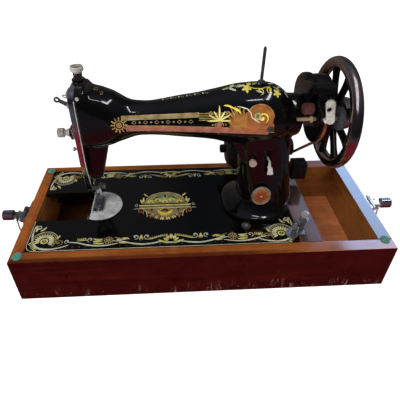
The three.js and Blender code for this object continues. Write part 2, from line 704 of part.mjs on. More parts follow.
function handwheel() {
  const at = [SHAFT.y, SHAFT.z];
  const { x, ring, tube, spokes, spokePhase } = WHEEL;
  const rimGeometry = new THREE.TorusGeometry(ring, tube, 8, 36);
  rimGeometry.rotateY(Math.PI / 2);
  rimGeometry.translate(x, SHAFT.y, SHAFT.z);
  const parts = [solid(rimGeometry)];
  for (let i = 0; i < spokes; i++) {
    const spoke = new THREE.CylinderGeometry(3.6, 5.4, ring - 16, 6);
    spoke.scale(1, 1, 0.8);
    spoke.translate(0, (ring + 16) / 2, 0);
    spoke.rotateX(THREE.MathUtils.degToRad(90 + spokePhase + (360 / spokes) * i));
    spoke.translate(x - 1, SHAFT.y, SHAFT.z);
    parts.push(solid(spoke));
  }
  const { flange, groove, halfWidth } = PULLEY;
  const left = PULLEY.x - halfWidth;
  const right = PULLEY.x + halfWidth;
  const profile = [[0, left], [flange - 4, left], [flange, left + 1.2], [flange, left + 2.6]];
  profile.push([groove, PULLEY.x - 2.5], [groove, PULLEY.x + 2.5]);
  profile.push([flange, right - 2.6], [flange, right - 1]);
  profile.push([26, right + 1], [26, 168], [21, 170], [20, 179.5], [0, 179.5]);
  const hub = turning("x", profile, at, 28);
  const bore = bar("x", left - 1, 190, at, SHAFT.radius + RUN, 16);
  piece("handwheel", joined(...parts, hub).subtract(bore), chrome);

  const knobShape = slabAlongX(fluted(21, 0.7, 20), 184, 190).translate(0, ...at);
  const dome = turning("x", [[0, 180], [19, 180], [20.2, 181.5], [20.2, 184.2], [0, 184.2]], at, 20);
  const cap = turning("x", [[0, 189.5], [19, 189.5], [15, 193], [0, 194]], at, 20);
  const socket = bar("x", 179, 189.4, at, SHAFT.radius + RUN, 16);
  piece("clutch_knob", joined(knobShape, dome, cap).subtract(socket), chrome);
}

function motor() {
  const { y, z, radius, left, right } = MOTOR;
  const at = [y, z];
  const profile = [[0, left - 7], [6, left - 7], [7, left - 5], [7, left + 1], [20, left + 2]];
  profile.push([29, left + 6], [radius, left + 14], [radius, right - 16], [29, right - 6], [18, right - 1]);
  profile.push([8, right], [8, right + 6], [0, right + 6]);
  piece("motor_housing", turning("x", profile, at, 22), bakelite);

  const plate = box(72, 100, SHAFT.y + 36.4, SHAFT.y + 40, z - 20, z + 14);
  const arm = box(76, 96, SHAFT.y + 39, y - radius - GAP, z - 9, z + 9);
  piece("motor_bracket", joined(plate, arm), japan);

  const { flange, groove } = MOTOR_PULLEY;
  const middle = PULLEY.x;
  const rim = [[0, middle - 5.6], [flange, middle - 5.6], [flange, middle - 4.2], [groove, middle - 2.5]];
  rim.push([groove, middle + 2.5], [flange, middle + 4.2], [flange, middle + 5.6], [0, middle + 5.6]);
  const shaft = bar("x", right + 6 + GAP, middle - 4, at, 3.2, 12);
  piece("motor_pulley", joined(turning("x", rim, at, 18), shaft), steel);
}

// The round leather belt, open by a hair at its joint.
function driveBelt() {
  const big = PULLEY.groove + BELT.radius + BELT.play;
  const small = MOTOR_PULLEY.groove + BELT.radius + BELT.play;
  const from = new THREE.Vector2(SHAFT.y, SHAFT.z);
  const to = new THREE.Vector2(MOTOR.y, MOTOR.z);
  const line = to.clone().sub(from);
  const heading = line.angle();
  const lean = Math.acos((big - small) / line.length());
  const path = new THREE.CurvePath();
  const onCircle = (centre, radius, angle) =>
    new THREE.Vector3(PULLEY.x, centre.x + radius * Math.cos(angle), centre.y + radius * Math.sin(angle));
  const arc = (centre, radius, start, end, count) => {
    const points = [];
    for (let i = 0; i <= count; i++) {
      points.push(onCircle(centre, radius, start + ((end - start) * i) / count));
    }
    return new THREE.CatmullRomCurve3(points);
  };
  const bigArc = arc(from, big, heading + lean, heading - lean + 2 * Math.PI, 14);
  const smallArc = arc(to, small, heading - lean, heading + lean, 8);
  const split = 0.006;
  path.add(bigArc);
  path.add(new THREE.LineCurve3(bigArc.getPoint(1), smallArc.getPoint(0)));
  path.add(smallArc);
  const last = new THREE.LineCurve3(smallArc.getPoint(1), bigArc.getPoint(0));
  path.add(new THREE.LineCurve3(last.getPoint(0), last.getPoint(1 - split)));
  path.computeFrenetFrames = THREE.Curve.prototype.computeFrenetFrames;
  piece("drive_belt", wire(path, BELT.radius, 60, 8), leather);
}

function terminalBlock() {
  const block = box(146, 168.5, 34, 54, 89, 117);
  const sockets = [94, 103, 112].map((z) => bar("x", 159, 170, [44, z], 3.2, 12));
  const strap = box(104, 148, 39.8, 42.8, 92, 114);
  const body = sockets.reduce((all, hole) => all.subtract(hole), joined(block, strap));
  piece("terminal_block", body, bakelite);
}

// ---------------------------------------------------------------- small controls on the pillar

function pillarControls() {
  const leverX = 85.7;
  const pivot = [-3, 170];
  const outline = [[-3, 171], [-36, 176], [-42.4, 171], [-44.8, 162], [-43, 161], [-40, 168.6]];
  outline.push([-34, 172], [-3, 167]);
  const blade = slabAlongX(polygon(outline), leverX - 1.6, leverX + 1.6);
  const paddleOutline = [[-42.2, 175], [-40.2, 175], [-44, 159.6], [-46, 159.6]];
  const paddle = slabAlongX(polygon(paddleOutline), leverX - 4, leverX + 4);
  const hub = bar("x", leverX - 3, leverX + 3, pivot, 5, 16);
  piece("stitch_lever", joined(blade, paddle, hub), nickel);

  const screwAt = [64.5, 170];
  const headOutline = fluted(6.4, 0.5, 16);
  const head = slabAlongY(headOutline, -35.8, -30.8).translate(screwAt[0], 0, screwAt[1]);
  const neck = bar("y", -31.3, -26.3, screwAt, 2.6, 12);
  piece("stitch_stop_screw", joined(head, neck), brass);

  piece("medallion", bar("y", -35.5, -33, [81.5, 114], 13.6, 28), brass);
}

function spoolPin() {
  const at = [71.5, SHAFT.y];
  const profile = [[0, 256], [2.5, 256], [2.5, 268], [4.6, 268.4], [4.6, 269.6], [2, 270.6]];
  profile.push([2, 309], [1.4, 311.5], [0, 312]);
  piece("spool_pin", turning("z", profile, at, 14), steel);
}

function bedStud() {
  const at = [60.5, -53.4];
  const top = BED.top + GAP;
  const profile = [[0, top], [7, top], [7, top + 1.6], [6, top + 4], [3.4, top + 5.8], [0, top + 6.4]];
  piece("bed_stud", turning("z", profile, at, 22), chrome);
}

// ---------------------------------------------------------------- the bobbin winder

function bobbinWinder() {
  const { pivotY, pivotZ, spindleY, spindleZ } = WINDER;
  const wheelAt = [SHAFT.y, SHAFT.z];
  const drumAt = [15, 243];
  const drum = turning("x", [[0, 127], [27, 127], [30, 130], [30, 139], [27, 142], [0, 142]], drumAt, 22);
  const cheekOutline = polygon([[-30, 262], [-31, 272], [-22, 276], [30, 262], [30, 222], [0, 214]]);
  const cheek = slabAlongX(cheekOutline, 125.4, 128);
  const pin = bar("x", 126, 156, [pivotY, pivotZ], 3.2, 14);
  const hoodProfile = [[0, 136], [19, 136], [23, 139], [23, 157], [19, 160.5], [0, 160.5]];
  const hood = turning("x", hoodProfile, [6, 250], 22);
  const wheelRoom = bar("x", 142.4, 170, wheelAt, PULLEY.flange + 1.2, 32);
  const cover = hood.subtract(wheelRoom).intersect(box(130, 170, -16, 40, 254, 280));
  const bracket = joined(drum, cover, cheek, pin).subtract(bar("x", 120, 145, wheelAt, 12.4, 24));
  piece("winder_bracket", bracket, japan);

  const barrel = bar("x", 128 + RUN, 154, [pivotY, pivotZ], 7.6, 20);
  const arm = slabAlongX(
    polygon([[-31, 270], [-17, 264], [-30, 246], [-31, 235], [-37, 229], [-44, 231], [-46, 240], [-40, 256]]),
    132,
    142.4,
  );
  let frame = joined(barrel, arm);
  frame = frame.subtract(bar("x", 120, 160, [pivotY, pivotZ], 3.2 + RUN, 14));
  frame = frame.subtract(bar("x", 120, 160, [spindleY, spindleZ], 2.6 + RUN, 14));
  piece("winder_frame", frame, japan);

  const spindle = joined(
    bar("x", 110, 131.6, [spindleY, spindleZ], 4, 14),
    bar("x", 127, 129, [spindleY, spindleZ], 4.9, 14),
    bar("x", 131, 166.4, [spindleY, spindleZ], 2.6, 12),
  );
  piece("winder_spindle", spindle, nickel);
  const tyreProfile = [[0, 158.8], [12, 158.8], [14.4, 160.2], [14.4, 164.6], [12, 165.9], [0, 165.9]];
  const tyre = turning("x", tyreProfile, [spindleY, spindleZ], 24);
  piece("winder_tyre", tyre.subtract(bar("x", 150, 175, [spindleY, spindleZ], 2.6 + GAP, 12)), rubber);

  const latchX = 142;
  const latchShape = new THREE.Shape();
  latchShape.absarc(latchX, 261, 5.6, 0, Math.PI, false);
  latchShape.absarc(latchX, 240, 4.8, Math.PI, 2 * Math.PI, false);
  const eye = bar("y", -52, -46, [latchX, 257], 1.8, 12);
  const latchPlate = slabAlongY(latchShape, -50, -47.6, 8).subtract(eye);
  const latchPin = bar("y", -48, -46.3, [latchX - 3, 239], 2.6, 12);
  piece("winder_latch", joined(latchPlate, latchPin), nickel);

  const cam = joined(
    turning("x", [[0, 117], [6, 117], [7.2, 119], [7.2, 128], [6, 130], [0, 130]], [-33, 248], 18),
    bar("x", 129, 132 - GAP, [-33, 247], 2.4, 12),
  );
  piece("winder_cam", cam, chrome);
}

// The thread tension for winding bobbins, on the bed's front right corner.
function winderTension() {
  const top = BED.top + GAP;
  const base = bar("z", top, top + 2.4, [121, -72], 8.5, 22);
  const tongue = box(119, 139, -75, -66, top, top + 2.4);
  const post = bar("z", top, top + 28.6, [137, -63], 2.2, 12);
  const link = box(131, 139.5, -70, -61, top, top + 2.4);
  const discs = [top + 17, top + 20.4].map((z) =>
    turning("z", [[0, z], [6, z], [6.6, z + 1.2], [3, z + 2], [0, z + 2]], [137, -63], 14),
  );
  const sleeve = bar("z", top + 2, top + 23.6, [137, -63], 3, 12);
  const screwProfile = [[0, top], [3.2, top], [3.2, top + 11], [4.6, top + 12.4]];
  screwProfile.push([4.8, top + 15.4], [3.4, top + 18], [0, top + 18.8]);
  const screw = turning("z", screwProfile, [123.5, -71], 16);
  piece("winding_tension", joined(base, tongue, link, post, sleeve, screw, ...discs), nickel);

  const nut = slab(fluted(5.4, 0.5, 16), top + 25.4, top + 30.6).translate(137, -63, 0);
  const thread = bar("z", top + 20, top + 29.2, [137, -63], 2.2 + RUN, 12);
  piece("winding_tension_nut", nut.subtract(thread), nickel);
}

// ---------------------------------------------------------------- assembly

woodenBase();
latch("left", -1);
latch("right", 1);
tiltHinge("left", TILT_HINGES[0]);
tiltHinge("right", TILT_HINGES[1]);
bed();
needlePlate();
feedDog();
hookAssembly();
armCasting();
facePlate();
needleBar();
presserBar();
presserLifter();
pressureScrew();
takeUpLever();
threadTension();
armShaft();
handwheel();
motor();
driveBelt();
terminalBlock();
pillarControls();
spoolPin();
bedStud();
bobbinWinder();
winderTension();

export default machine;
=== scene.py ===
import math
import random

import bmesh
import bpy
from mathutils import Matrix, Quaternion, Vector
from mathutils.bvhtree import BVHTree


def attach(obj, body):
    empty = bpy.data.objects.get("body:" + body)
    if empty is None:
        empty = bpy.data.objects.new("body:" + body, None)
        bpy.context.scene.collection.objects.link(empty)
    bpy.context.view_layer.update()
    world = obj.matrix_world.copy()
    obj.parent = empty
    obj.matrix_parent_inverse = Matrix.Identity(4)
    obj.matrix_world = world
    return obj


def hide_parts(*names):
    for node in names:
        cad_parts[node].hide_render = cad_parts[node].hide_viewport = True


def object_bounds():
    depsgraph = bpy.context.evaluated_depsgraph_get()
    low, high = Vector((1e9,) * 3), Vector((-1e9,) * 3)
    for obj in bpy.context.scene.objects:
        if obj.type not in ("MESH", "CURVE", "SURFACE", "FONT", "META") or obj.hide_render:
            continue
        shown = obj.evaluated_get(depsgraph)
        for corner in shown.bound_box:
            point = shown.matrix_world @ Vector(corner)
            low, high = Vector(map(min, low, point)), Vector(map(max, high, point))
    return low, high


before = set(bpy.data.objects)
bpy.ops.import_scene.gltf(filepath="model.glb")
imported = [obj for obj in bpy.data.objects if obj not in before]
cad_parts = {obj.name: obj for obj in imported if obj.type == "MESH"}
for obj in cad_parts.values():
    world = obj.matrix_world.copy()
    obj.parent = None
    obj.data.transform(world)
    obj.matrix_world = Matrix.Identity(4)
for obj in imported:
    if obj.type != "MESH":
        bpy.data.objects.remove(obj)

CAD_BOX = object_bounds()
MM = 0.001
scene = bpy.context.scene

# ---------------------------------------------------------------- camera


CAMERA_PLACE = Vector((-39.79, -436.84, 456.57))
CAMERA_ANGLES = (-3.10, 36.47, 0.19)  # azimuth from the front, height over the horizon, roll


def make_camera():
    place = CAMERA_PLACE * MM
    azimuth, elevation, roll = (math.radians(angle) for angle in CAMERA_ANGLES)
    back = Vector((
        math.sin(azimuth) * math.cos(elevation),
        -math.cos(azimuth) * math.cos(elevation),
        math.sin(elevation),
    ))
    level = Vector((math.cos(azimuth), math.sin(azimuth), 0))
    upright = back.cross(level)
    right = level * math.cos(roll) + upright * math.sin(roll)
    up = upright * math.cos(roll) - level * math.sin(roll)
    data = bpy.data.cameras.new("camera")
    data.sensor_width = 36
    data.lens = 34.17
    data.shift_x = 0.0242
    data.shift_y = -0.0682
    data.clip_start = 0.02
    camera = bpy.data.objects.new("camera", data)
    camera.matrix_world = Matrix((
        (right.x, up.x, back.x, place.x),
        (right.y, up.y, back.y, place.y),
        (right.z, up.z, back.z, place.z),
        (0, 0, 0, 1),
    ))
    scene.collection.objects.link(camera)
    scene.camera = camera


make_camera()

# ---------------------------------------------------------------- material graphs


class Graph:
    """A node tree that is filled one node at a time."""

    def __init__(self, tree):
        self.tree = tree

    def add(self, kind, options=None, **inputs):
        """Adds a node; an input is named by its socket, or by i and its number."""
        node = self.tree.nodes.new(kind)
        for option, value in (options or {}).items():
            setattr(node, option, value)
        for socket, value in inputs.items():
            numbered = socket[0] == "i" and socket[1:].isdigit()
            self.put(value, node.inputs[int(socket[1:]) if numbered else socket.replace("_", " ")])
        return node

    def put(self, value, target):
        if isinstance(value, bpy.types.NodeSocket):
            self.tree.links.new(value, target)
        else:
            target.default_value = value

    def ramp(self, factor, *stops):
        node = self.add("ShaderNodeValToRGB", Fac=factor)
        elements = node.color_ramp.elements
        while len(elements) < len(stops):
            elements.new(0.5)
        for element, (place, colour) in zip(elements, stops):
            element.position = place
            element.color = (*colour, 1)
        return node.outputs["Color"]

    def levels(self, factor, low, high, out_low, out_high):
        node = self.add("ShaderNodeMapRange", i0=factor, i1=low, i2=high, i3=out_low, i4=out_high)
        return node.outputs[0]


class Look(Graph):
    """A Principled material whose sockets are driven by small procedural graphs."""

    def __init__(self, name, **constants):
        self.material = bpy.data.materials.new(name)
        self.material.use_nodes = True
        super().__init__(self.material.node_tree)
        self.shader = self.tree.nodes["Principled BSDF"]
        for socket, value in constants.items():
            self.shader.inputs[socket.replace("_", " ")].default_value = value
        self.where = self.add("ShaderNodeTexCoord").outputs["Object"]

    def set(self, socket, value):
        self.put(value, self.shader.inputs[socket])

    def millimetres(self, scale=(1, 1, 1)):
        return self.add("ShaderNodeMapping", Vector=self.where, Scale=[s / MM for s in scale]).outputs[0]

    def noise(self, vector, scale, detail=3, distortion=0.0, roughness=0.5):
        node = self.add("ShaderNodeTexNoise", Vector=vector, Scale=scale, Detail=detail,
                        Distortion=distortion, Roughness=roughness)
        return node.outputs["Fac"]

    def cells(self, vector, scale):
        return self.add("ShaderNodeTexVoronoi", Vector=vector, Scale=scale).outputs["Distance"]

    def math(self, operation, first, second=0.0):
        return self.add("ShaderNodeMath", {"operation": operation}, i0=first, i1=second).outputs[0]

    def product(self, *factors):
        result = factors[0]
        for factor in factors[1:]:
            result = self.math("MULTIPLY", result, factor)
        return result

    def blend(self, factor, first, second):
        node = self.add("ShaderNodeMix", {"data_type": "RGBA"})
        self.put(factor, node.inputs[0])
        self.put(first, node.inputs[6])
        self.put(second, node.inputs[7])
        return node.outputs[2]

    def axis(self, vector, letter):
        return self.add("ShaderNodeSeparateXYZ", Vector=vector).outputs[letter]

    def bump(self, height, strength, distance=0.2):
        node = self.add("ShaderNodeBump", Strength=strength, Distance=distance * MM, Height=height)
        self.set("Normal", node.outputs["Normal"])


BASE_TOP = 75
WELL = (-241.3, 238.1, -87.2, 86.1)  # inner faces of the box: left, right, front, back


def wood(name, grain, outside, rim, inside, coat=0.07):
    """Varnished wood: each of outside, rim and inside is a dark and a light colour."""
    look = Look(name, Coat_Weight=coat, Coat_Roughness=0.1, Specular_IOR_Level=0.07)
    stretch = {"x": (0.035, 1, 1), "y": (1, 0.035, 1)}[grain]
    fine = {"x": (0.012, 1, 1), "y": (1, 0.012, 1)}[grain]
    figure = look.noise(look.millimetres(stretch), 0.09, 4, 1.4, 0.55)
    fibre = look.noise(look.millimetres(fine), 1.3, 5, 0.2, 0.65)
    pores = look.noise(look.millimetres(fine), 3.2, 2, 0.0, 0.5)
    wear = look.noise(look.millimetres(), 0.03, 5, 0.6, 0.6)
    tone = look.math("ADD", look.product(figure, 0.62), look.product(fibre, 0.38))
    place = look.millimetres()
    x, y, z = (look.axis(place, letter) for letter in "XYZ")
    normal = look.add("ShaderNodeTexCoord").outputs["Normal"]
    up = look.levels(look.axis(normal, "Z"), 0.5, 0.8, 0.0, 1.0)
    high = look.product(up, look.levels(z, BASE_TOP - 2.5, BASE_TOP - 1.5, 0.0, 1.0))
    left, right, front, back = WELL
    within = look.product(look.levels(x, left - 0.2, left, 0, 1), look.levels(x, right, right + 0.2, 1, 0),
                          look.levels(y, front - 0.2, front, 0, 1), look.levels(y, back, back + 0.2, 1, 0))
    colours = [look.ramp(tone, (0.28, dark), (0.72, light)) for dark, light in (outside, rim, inside)]
    colour = look.blend(within, colours[0], colours[2])
    # Painted shade: inside the well under the bed, from the left wall's inner face to the bed's right end and
    # below about 60 mm, the wood is darkened to near black.
    shade_under_bed = look.product(look.levels(x, -240.9, -240.2, 0, 0.93), look.levels(x, 128, 131, 1, 0),
                        look.levels(z, 60, 66, 1, 0), within)
    colour = look.blend(shade_under_bed, colour, (0.004, 0.003, 0.003, 1))
    edge = look.product(look.levels(y, -100, -96.5, 0.92, 0), look.levels(x, 60, 140, 1, 0))
    colour = look.blend(high, colour, look.blend(edge, colours[1], (0.11, 0.022, 0.008, 1)))
    dirt = look.levels(wear, 0.35, 0.7, 0.72, 1.12)
    colour = look.add("ShaderNodeVectorMath", {"operation": "SCALE"}, i0=colour, Scale=dirt).outputs[0]
    colour = look.blend(look.levels(pores, 0.62, 0.72, 0.0, 0.45), colour, (0.012, 0.004, 0.003, 1))
    streaks = look.noise(look.millimetres((1.0, 1.0, 0.12)), 0.32, 4, 0.3, 0.7)
    low = look.product(look.levels(z, 3, 24, 1, 0), look.levels(wear, 0.46, 0.56, 0, 1))
    wear_and_edge_highlight = look.product(look.levels(streaks, 0.56, 0.66, 0, 0.6), low)
    scuffs = look.levels(look.noise(look.millimetres((0.2, 0.2, 1)), 1.4, 3, 0.4, 0.6), 0.68, 0.74, 0, 0.35)
    outer = look.math("SUBTRACT", 1.0, within)
    colour = look.blend(look.product(wear_and_edge_highlight, outer), colour, (0.42, 0.26, 0.22, 1))
    colour = look.blend(look.product(scuffs, outer), colour, (0.14, 0.05, 0.035, 1))
    look.set("Base Color", colour)
    near = look.math("LESS_THAN", y, 0)
    sheen = look.product(high, near, look.levels(x, 60, 200, 0.0, 1.0))
    look.set("Coat Weight", look.blend(sheen, (coat, coat, coat, 1), (1, 1, 1, 1)))
    look.set("Roughness", look.levels(wear, 0.3, 0.7, 0.24, 0.42))
    look.bump(fibre, 0.25, 0.12)
    return look.material


def japan_paint(name="japan", tint=(0.0014, 0.0013, 0.0015)):
    """Stoved black gloss with fine wear and dust."""
    look = Look(name, Coat_Weight=0.6, Coat_Roughness=0.02, Specular_IOR_Level=0.4)
    where = look.millimetres()
    patches = look.noise(where, 0.035, 5, 0.4, 0.6)
    dust = look.noise(where, 1.1, 3)
    colour = look.ramp(patches, (0.35, tint), (0.75, (0.0036, 0.0028, 0.0024)))
    dusty = look.levels(dust, 0.68, 0.8, 0.0, 0.16)
    look.set("Base Color", look.blend(dusty, colour, (0.022, 0.02, 0.018, 1)))
    look.set("Roughness", look.levels(patches, 0.3, 0.75, 0.06, 0.16))
    look.bump(look.noise(where, 0.06, 2), 0.02, 0.4)
    return look.material


def plated(name, bright, dull, smooth, rough, pits=0.5, grain=0.05, metallic=1.0):
    """Polished plating with tarnish in patches, small pits and fine scratches."""
    look = Look(name, Metallic=metallic)
    where = look.millimetres()
    patches = look.noise(where, 0.09, 5, 0.8, 0.6)
    scratches = look.noise(look.millimetres((0.15, 1.0, 3.0)), 1.8, 3)
    pitted = look.cells(where, 0.55)
    colour = look.ramp(patches, (0.38, dull), (0.62, bright))
    spots = look.levels(pitted, 0.0, 0.10, pits, 0.0)
    look.set("Base Color", look.blend(spots, colour, (0.10, 0.075, 0.055, 1)))
    look.set("Roughness", look.math("ADD", look.levels(patches, 0.35, 0.7, rough, smooth),
                                    look.levels(scratches, 0.4, 0.7, 0.0, grain)))
    look.bump(scratches, 0.06, 0.05)
    return look.material


def ground_steel(name="steel"):
    look = Look(name, Metallic=1.0)
    strokes = look.noise(look.millimetres((0.08, 2.2, 1.0)), 1.6, 4)
    patches = look.noise(look.millimetres(), 0.07, 4, 0.5)
    colour = look.ramp(patches, (0.3, (0.42, 0.40, 0.38)), (0.7, (0.66, 0.66, 0.67)))
    look.set("Base Color", look.blend(look.levels(strokes, 0.45, 0.75, 0, 0.3), colour, (0.3, 0.28, 0.26, 1)))
    look.set("Roughness", look.levels(strokes, 0.3, 0.7, 0.2, 0.42))
    look.bump(strokes, 0.10, 0.06)
    return look.material


def moulded_black(name="bakelite"):
    look = Look(name, Coat_Weight=0.25, Coat_Roughness=0.1)
    where = look.millimetres()
    swirl = look.noise(where, 0.12, 5, 1.2)
    look.set("Base Color", look.ramp(swirl, (0.35, (0.004, 0.004, 0.005)), (0.75, (0.016, 0.011, 0.010))))
    look.set("Roughness", look.levels(look.noise(where, 0.5, 3), 0.3, 0.7, 0.16, 0.34))
    look.bump(look.noise(where, 1.2, 2), 0.05, 0.1)
    return look.material


def tyre_rubber(name="rubber"):
    look = Look(name, Specular_IOR_Level=0.3)
    where = look.millimetres()
    bloom = look.noise(where, 0.4, 5, 0.3)
    look.set("Base Color", look.ramp(bloom, (0.3, (0.022, 0.023, 0.026)), (0.7, (0.07, 0.07, 0.075))))
    look.set("Roughness", look.levels(bloom, 0.3, 0.7, 0.55, 0.85))
    look.bump(look.noise(where, 2.5, 3), 0.4, 0.15)
    return look.material


def belt_leather(name="leather"):
    look = Look(name, Specular_IOR_Level=0.3)
    where = look.millimetres()
    grain = look.noise(where, 1.1, 5, 0.6)
    look.set("Base Color", look.ramp(grain, (0.3, (0.07, 0.020, 0.006)), (0.55, (0.21, 0.070, 0.018)),
                                     (0.8, (0.32, 0.13, 0.045))))
    look.set("Roughness", look.levels(grain, 0.3, 0.7, 0.42, 0.7))
    look.bump(grain, 0.45, 0.25)
    return look.material


def felt(name="felt"):
    look = Look(name, Specular_IOR_Level=0.1, Sheen_Weight=0.6, Sheen_Roughness=0.5)
    where = look.millimetres()
    fuzz = look.noise(where, 2.2, 5, 2.0, 0.7)
    wear_and_edge_highlight = look.noise(where, 0.25, 3)
    colour = look.ramp(fuzz, (0.3, (0.02, 0.12, 0.085)), (0.7, (0.10, 0.40, 0.29)))
    look.set("Base Color", look.blend(look.levels(wear_and_edge_highlight, 0.5, 0.75, 0, 0.5), colour, (0.24, 0.48, 0.38, 1)))
    look.set("Roughness", look.levels(fuzz, 0.2, 0.8, 0.8, 1.0))
    look.bump(fuzz, 0.8, 0.5)
    return look.material


def transfer(name, dark, light, metallic):
    """A gilt or tinted transfer, rubbed away in small patches."""
    look = Look(name, Metallic=metallic, Coat_Weight=0.5, Coat_Roughness=0.05)
    where = look.millimetres()
    rubbed = look.noise(where, 0.55, 5, 0.5, 0.7)
    tone = look.noise(where, 0.13, 3)
    colour = look.ramp(tone, (0.3, dark), (0.7, light))
    bare = look.levels(rubbed, 0.60, 0.72, 0.0, 0.8)
    look.set("Base Color", look.blend(bare, colour, (0.01, 0.008, 0.006, 1)))
    look.set("Roughness", look.levels(rubbed, 0.3, 0.7, 0.28, 0.45))
    look.bump(rubbed, 0.1, 0.03)
    return look.material


OUTSIDE = ((0.012, 0.0005, 0.0004), (0.060, 0.0022, 0.0011))
RIM = ((0.16, 0.036, 0.0070), (0.54, 0.160, 0.032))
COOL_RIM = ((0.030, 0.012, 0.006), (0.12, 0.06, 0.04))
INSIDE = ((0.16, 0.050, 0.011), (0.44, 0.160, 0.036))
BOTTOM = ((0.60, 0.15, 0.050), (1.0, 0.40, 0.15))
# Near-black wood for the ledge inside the well under the bed: painted shade.
LEDGE_SHADE = ((0.006, 0.003, 0.002), (0.03, 0.012, 0.006))

LOOKS = {
    "wood_x": wood("mahogany_along_x", "x", OUTSIDE, RIM, INSIDE),
    "wood_y": wood("mahogany_along_y", "y", OUTSIDE, RIM, INSIDE),
    "wood_right": wood("mahogany_right", "y", OUTSIDE, COOL_RIM, INSIDE, 1.0),
    "wood_divider": wood("mahogany_divider", "y", INSIDE, COOL_RIM, INSIDE, 0.8),
    "ply": wood("bottom_wood", "x", BOTTOM, BOTTOM, BOTTOM),
    "ply_painted_shade": wood("ledge_wood_painted_shade", "x", LEDGE_SHADE, LEDGE_SHADE, LEDGE_SHADE),
    "japan": japan_paint(),
    "red_japan": japan_paint("red_japan", (0.045, 0.012, 0.009)),
    "chrome": plated("chrome", (0.84, 0.84, 0.86), (0.62, 0.60, 0.58), 0.05, 0.16),
    "wheel_chrome": plated("wheel_chrome", (0.66, 0.58, 0.58), (0.46, 0.40, 0.40), 0.10, 0.2, 0.12, 0.02),
    "nickel": plated("nickel", (0.74, 0.71, 0.66), (0.52, 0.47, 0.41), 0.16, 0.34, 0.6, 0.1, 0.7),
    "worn_nickel": plated("worn_nickel", (0.80, 0.77, 0.70), (0.50, 0.46, 0.40), 0.25, 0.42, 0.6, 0.1, 0.45),
    "tarnished": plated("tarnished_nickel", (0.33, 0.33, 0.345), (0.16, 0.155, 0.15), 0.22, 0.42, 0.5,
                        0.1, 0.75),
    "pale_steel": plated("pale_steel", (0.86, 0.86, 0.85), (0.50, 0.49, 0.48), 0.30, 0.46, 0.8, 0.1, 0.30),
    "dark_steel": plated("dark_steel", (0.20, 0.19, 0.19), (0.07, 0.065, 0.06), 0.25, 0.45, 0.4, 0.1, 0.8),
    "steel": ground_steel(),
    "pale_brass": plated("pale_brass", (0.56, 0.42, 0.32), (0.34, 0.24, 0.18), 0.3, 0.45, 0.5, 0.1, 0.4),
    # The cam's brown-red plating is a painted reflection of the reddish room it mirrors.
    "cam_red_reflection": plated("cam_red_reflection", (0.15, 0.052, 0.044), (0.08, 0.028, 0.022), 0.3, 0.5, 0.5, 0.1, 0.4),
    "old_nickel": plated("old_nickel", (0.40, 0.35, 0.31), (0.22, 0.18, 0.15), 0.3, 0.45, 0.6, 0.1, 0.5),
    "gilt_brass": plated("gilt_brass", (0.85, 0.62, 0.36), (0.50, 0.36, 0.20), 0.22, 0.35, 0.5, 0.1, 0.75),
    "brass": plated("brass", (0.66, 0.43, 0.17), (0.34, 0.19, 0.07), 0.2, 0.42),
    "bakelite": moulded_black(),
    "rubber": tyre_rubber(),
    "leather": belt_leather(),
    "felt": felt(),
    "gold": transfer("transfer_gold", (0.42, 0.25, 0.06), (0.85, 0.62, 0.22), 0.55),
    "pale_gold": transfer("transfer_pale_gold", (0.60, 0.50, 0.12), (0.95, 0.88, 0.36), 0.15),
    "white_gold": transfer("transfer_white_gold", (0.52, 0.52, 0.36), (0.85, 0.85, 0.62), 0.1),
    "dark_gold": transfer("transfer_dark_gold", (0.30, 0.10, 0.02), (0.55, 0.24, 0.05), 0.35),
    "tan": transfer("transfer_tan", (0.20, 0.14, 0.06), (0.40, 0.31, 0.16), 0.2),
    "yellow": transfer("transfer_yellow", (0.75, 0.56, 0.04), (1.0, 0.86, 0.16), 0.1),
    "leaf_green": transfer("transfer_leaf_green", (0.16, 0.26, 0.08), (0.42, 0.52, 0.22), 0.1),
    "green": transfer("transfer_green", (0.04, 0.14, 0.09), (0.14, 0.30, 0.22), 0.1),
    "dark_red": transfer("transfer_dark_red", (0.16, 0.02, 0.008), (0.30, 0.05, 0.015), 0.15),
    "rose": transfer("transfer_rose", (0.26, 0.075, 0.045), (0.42, 0.15, 0.10), 0.1),
    "copper_red": transfer("transfer_copper", (0.26, 0.065, 0.015), (0.46, 0.15, 0.04), 0.25),
}

# ---------------------------------------------------------------- mesh building, in millimetres


def mesh_object(name, points, faces):
    mesh = bpy.data.meshes.new(name)
    mesh.from_pydata([Vector(p) * MM for p in points], [], faces)
    mesh.update()
    made = bpy.data.objects.new(name, mesh)
    scene.collection.objects.link(made)
    return made


def tidy_normals(obj):
    work = bmesh.new()
    work.from_mesh(obj.data)
    bmesh.ops.remove_doubles(work, verts=work.verts, dist=1e-7)
    bmesh.ops.recalc_face_normals(work, faces=work.faces)
    work.to_mesh(obj.data)
    work.free()
    return obj


def oriented(axis, along, u, v):
    """A point from its place along an axis and its two other coordinates, in X, Y, Z order."""
    return {"x": (along, u, v), "y": (u, along, v), "z": (u, v, along)}[axis]


def lathe(name, axis, profile, at, sides=56):
    """Turns [radius, place] round an axis through at. Radius 0 closes an end."""
    points, rows, faces = [], [], []
    for radius, along in profile:
        count = 1 if radius == 0 else sides
        rows.append((len(points), count))
        for i in range(count):
            points.append(oriented(axis, along, *around(*at, radius, 360 * i / sides)))
    loops = list(zip(rows, rows[1:]))
    if profile[0][0] and profile[-1][0]:
        loops.append((rows[-1], rows[0]))
    for (a, many_a), (b, many_b) in loops:
        for i in range(sides):
            j = (i + 1) % sides
            if many_a == 1:
                faces.append((a, b + j, b + i))
            elif many_b == 1:
                faces.append((a + i, a + j, b))
            else:
                faces.append((a + i, a + j, b + j, b + i))
    return tidy_normals(mesh_object(name, points, faces))


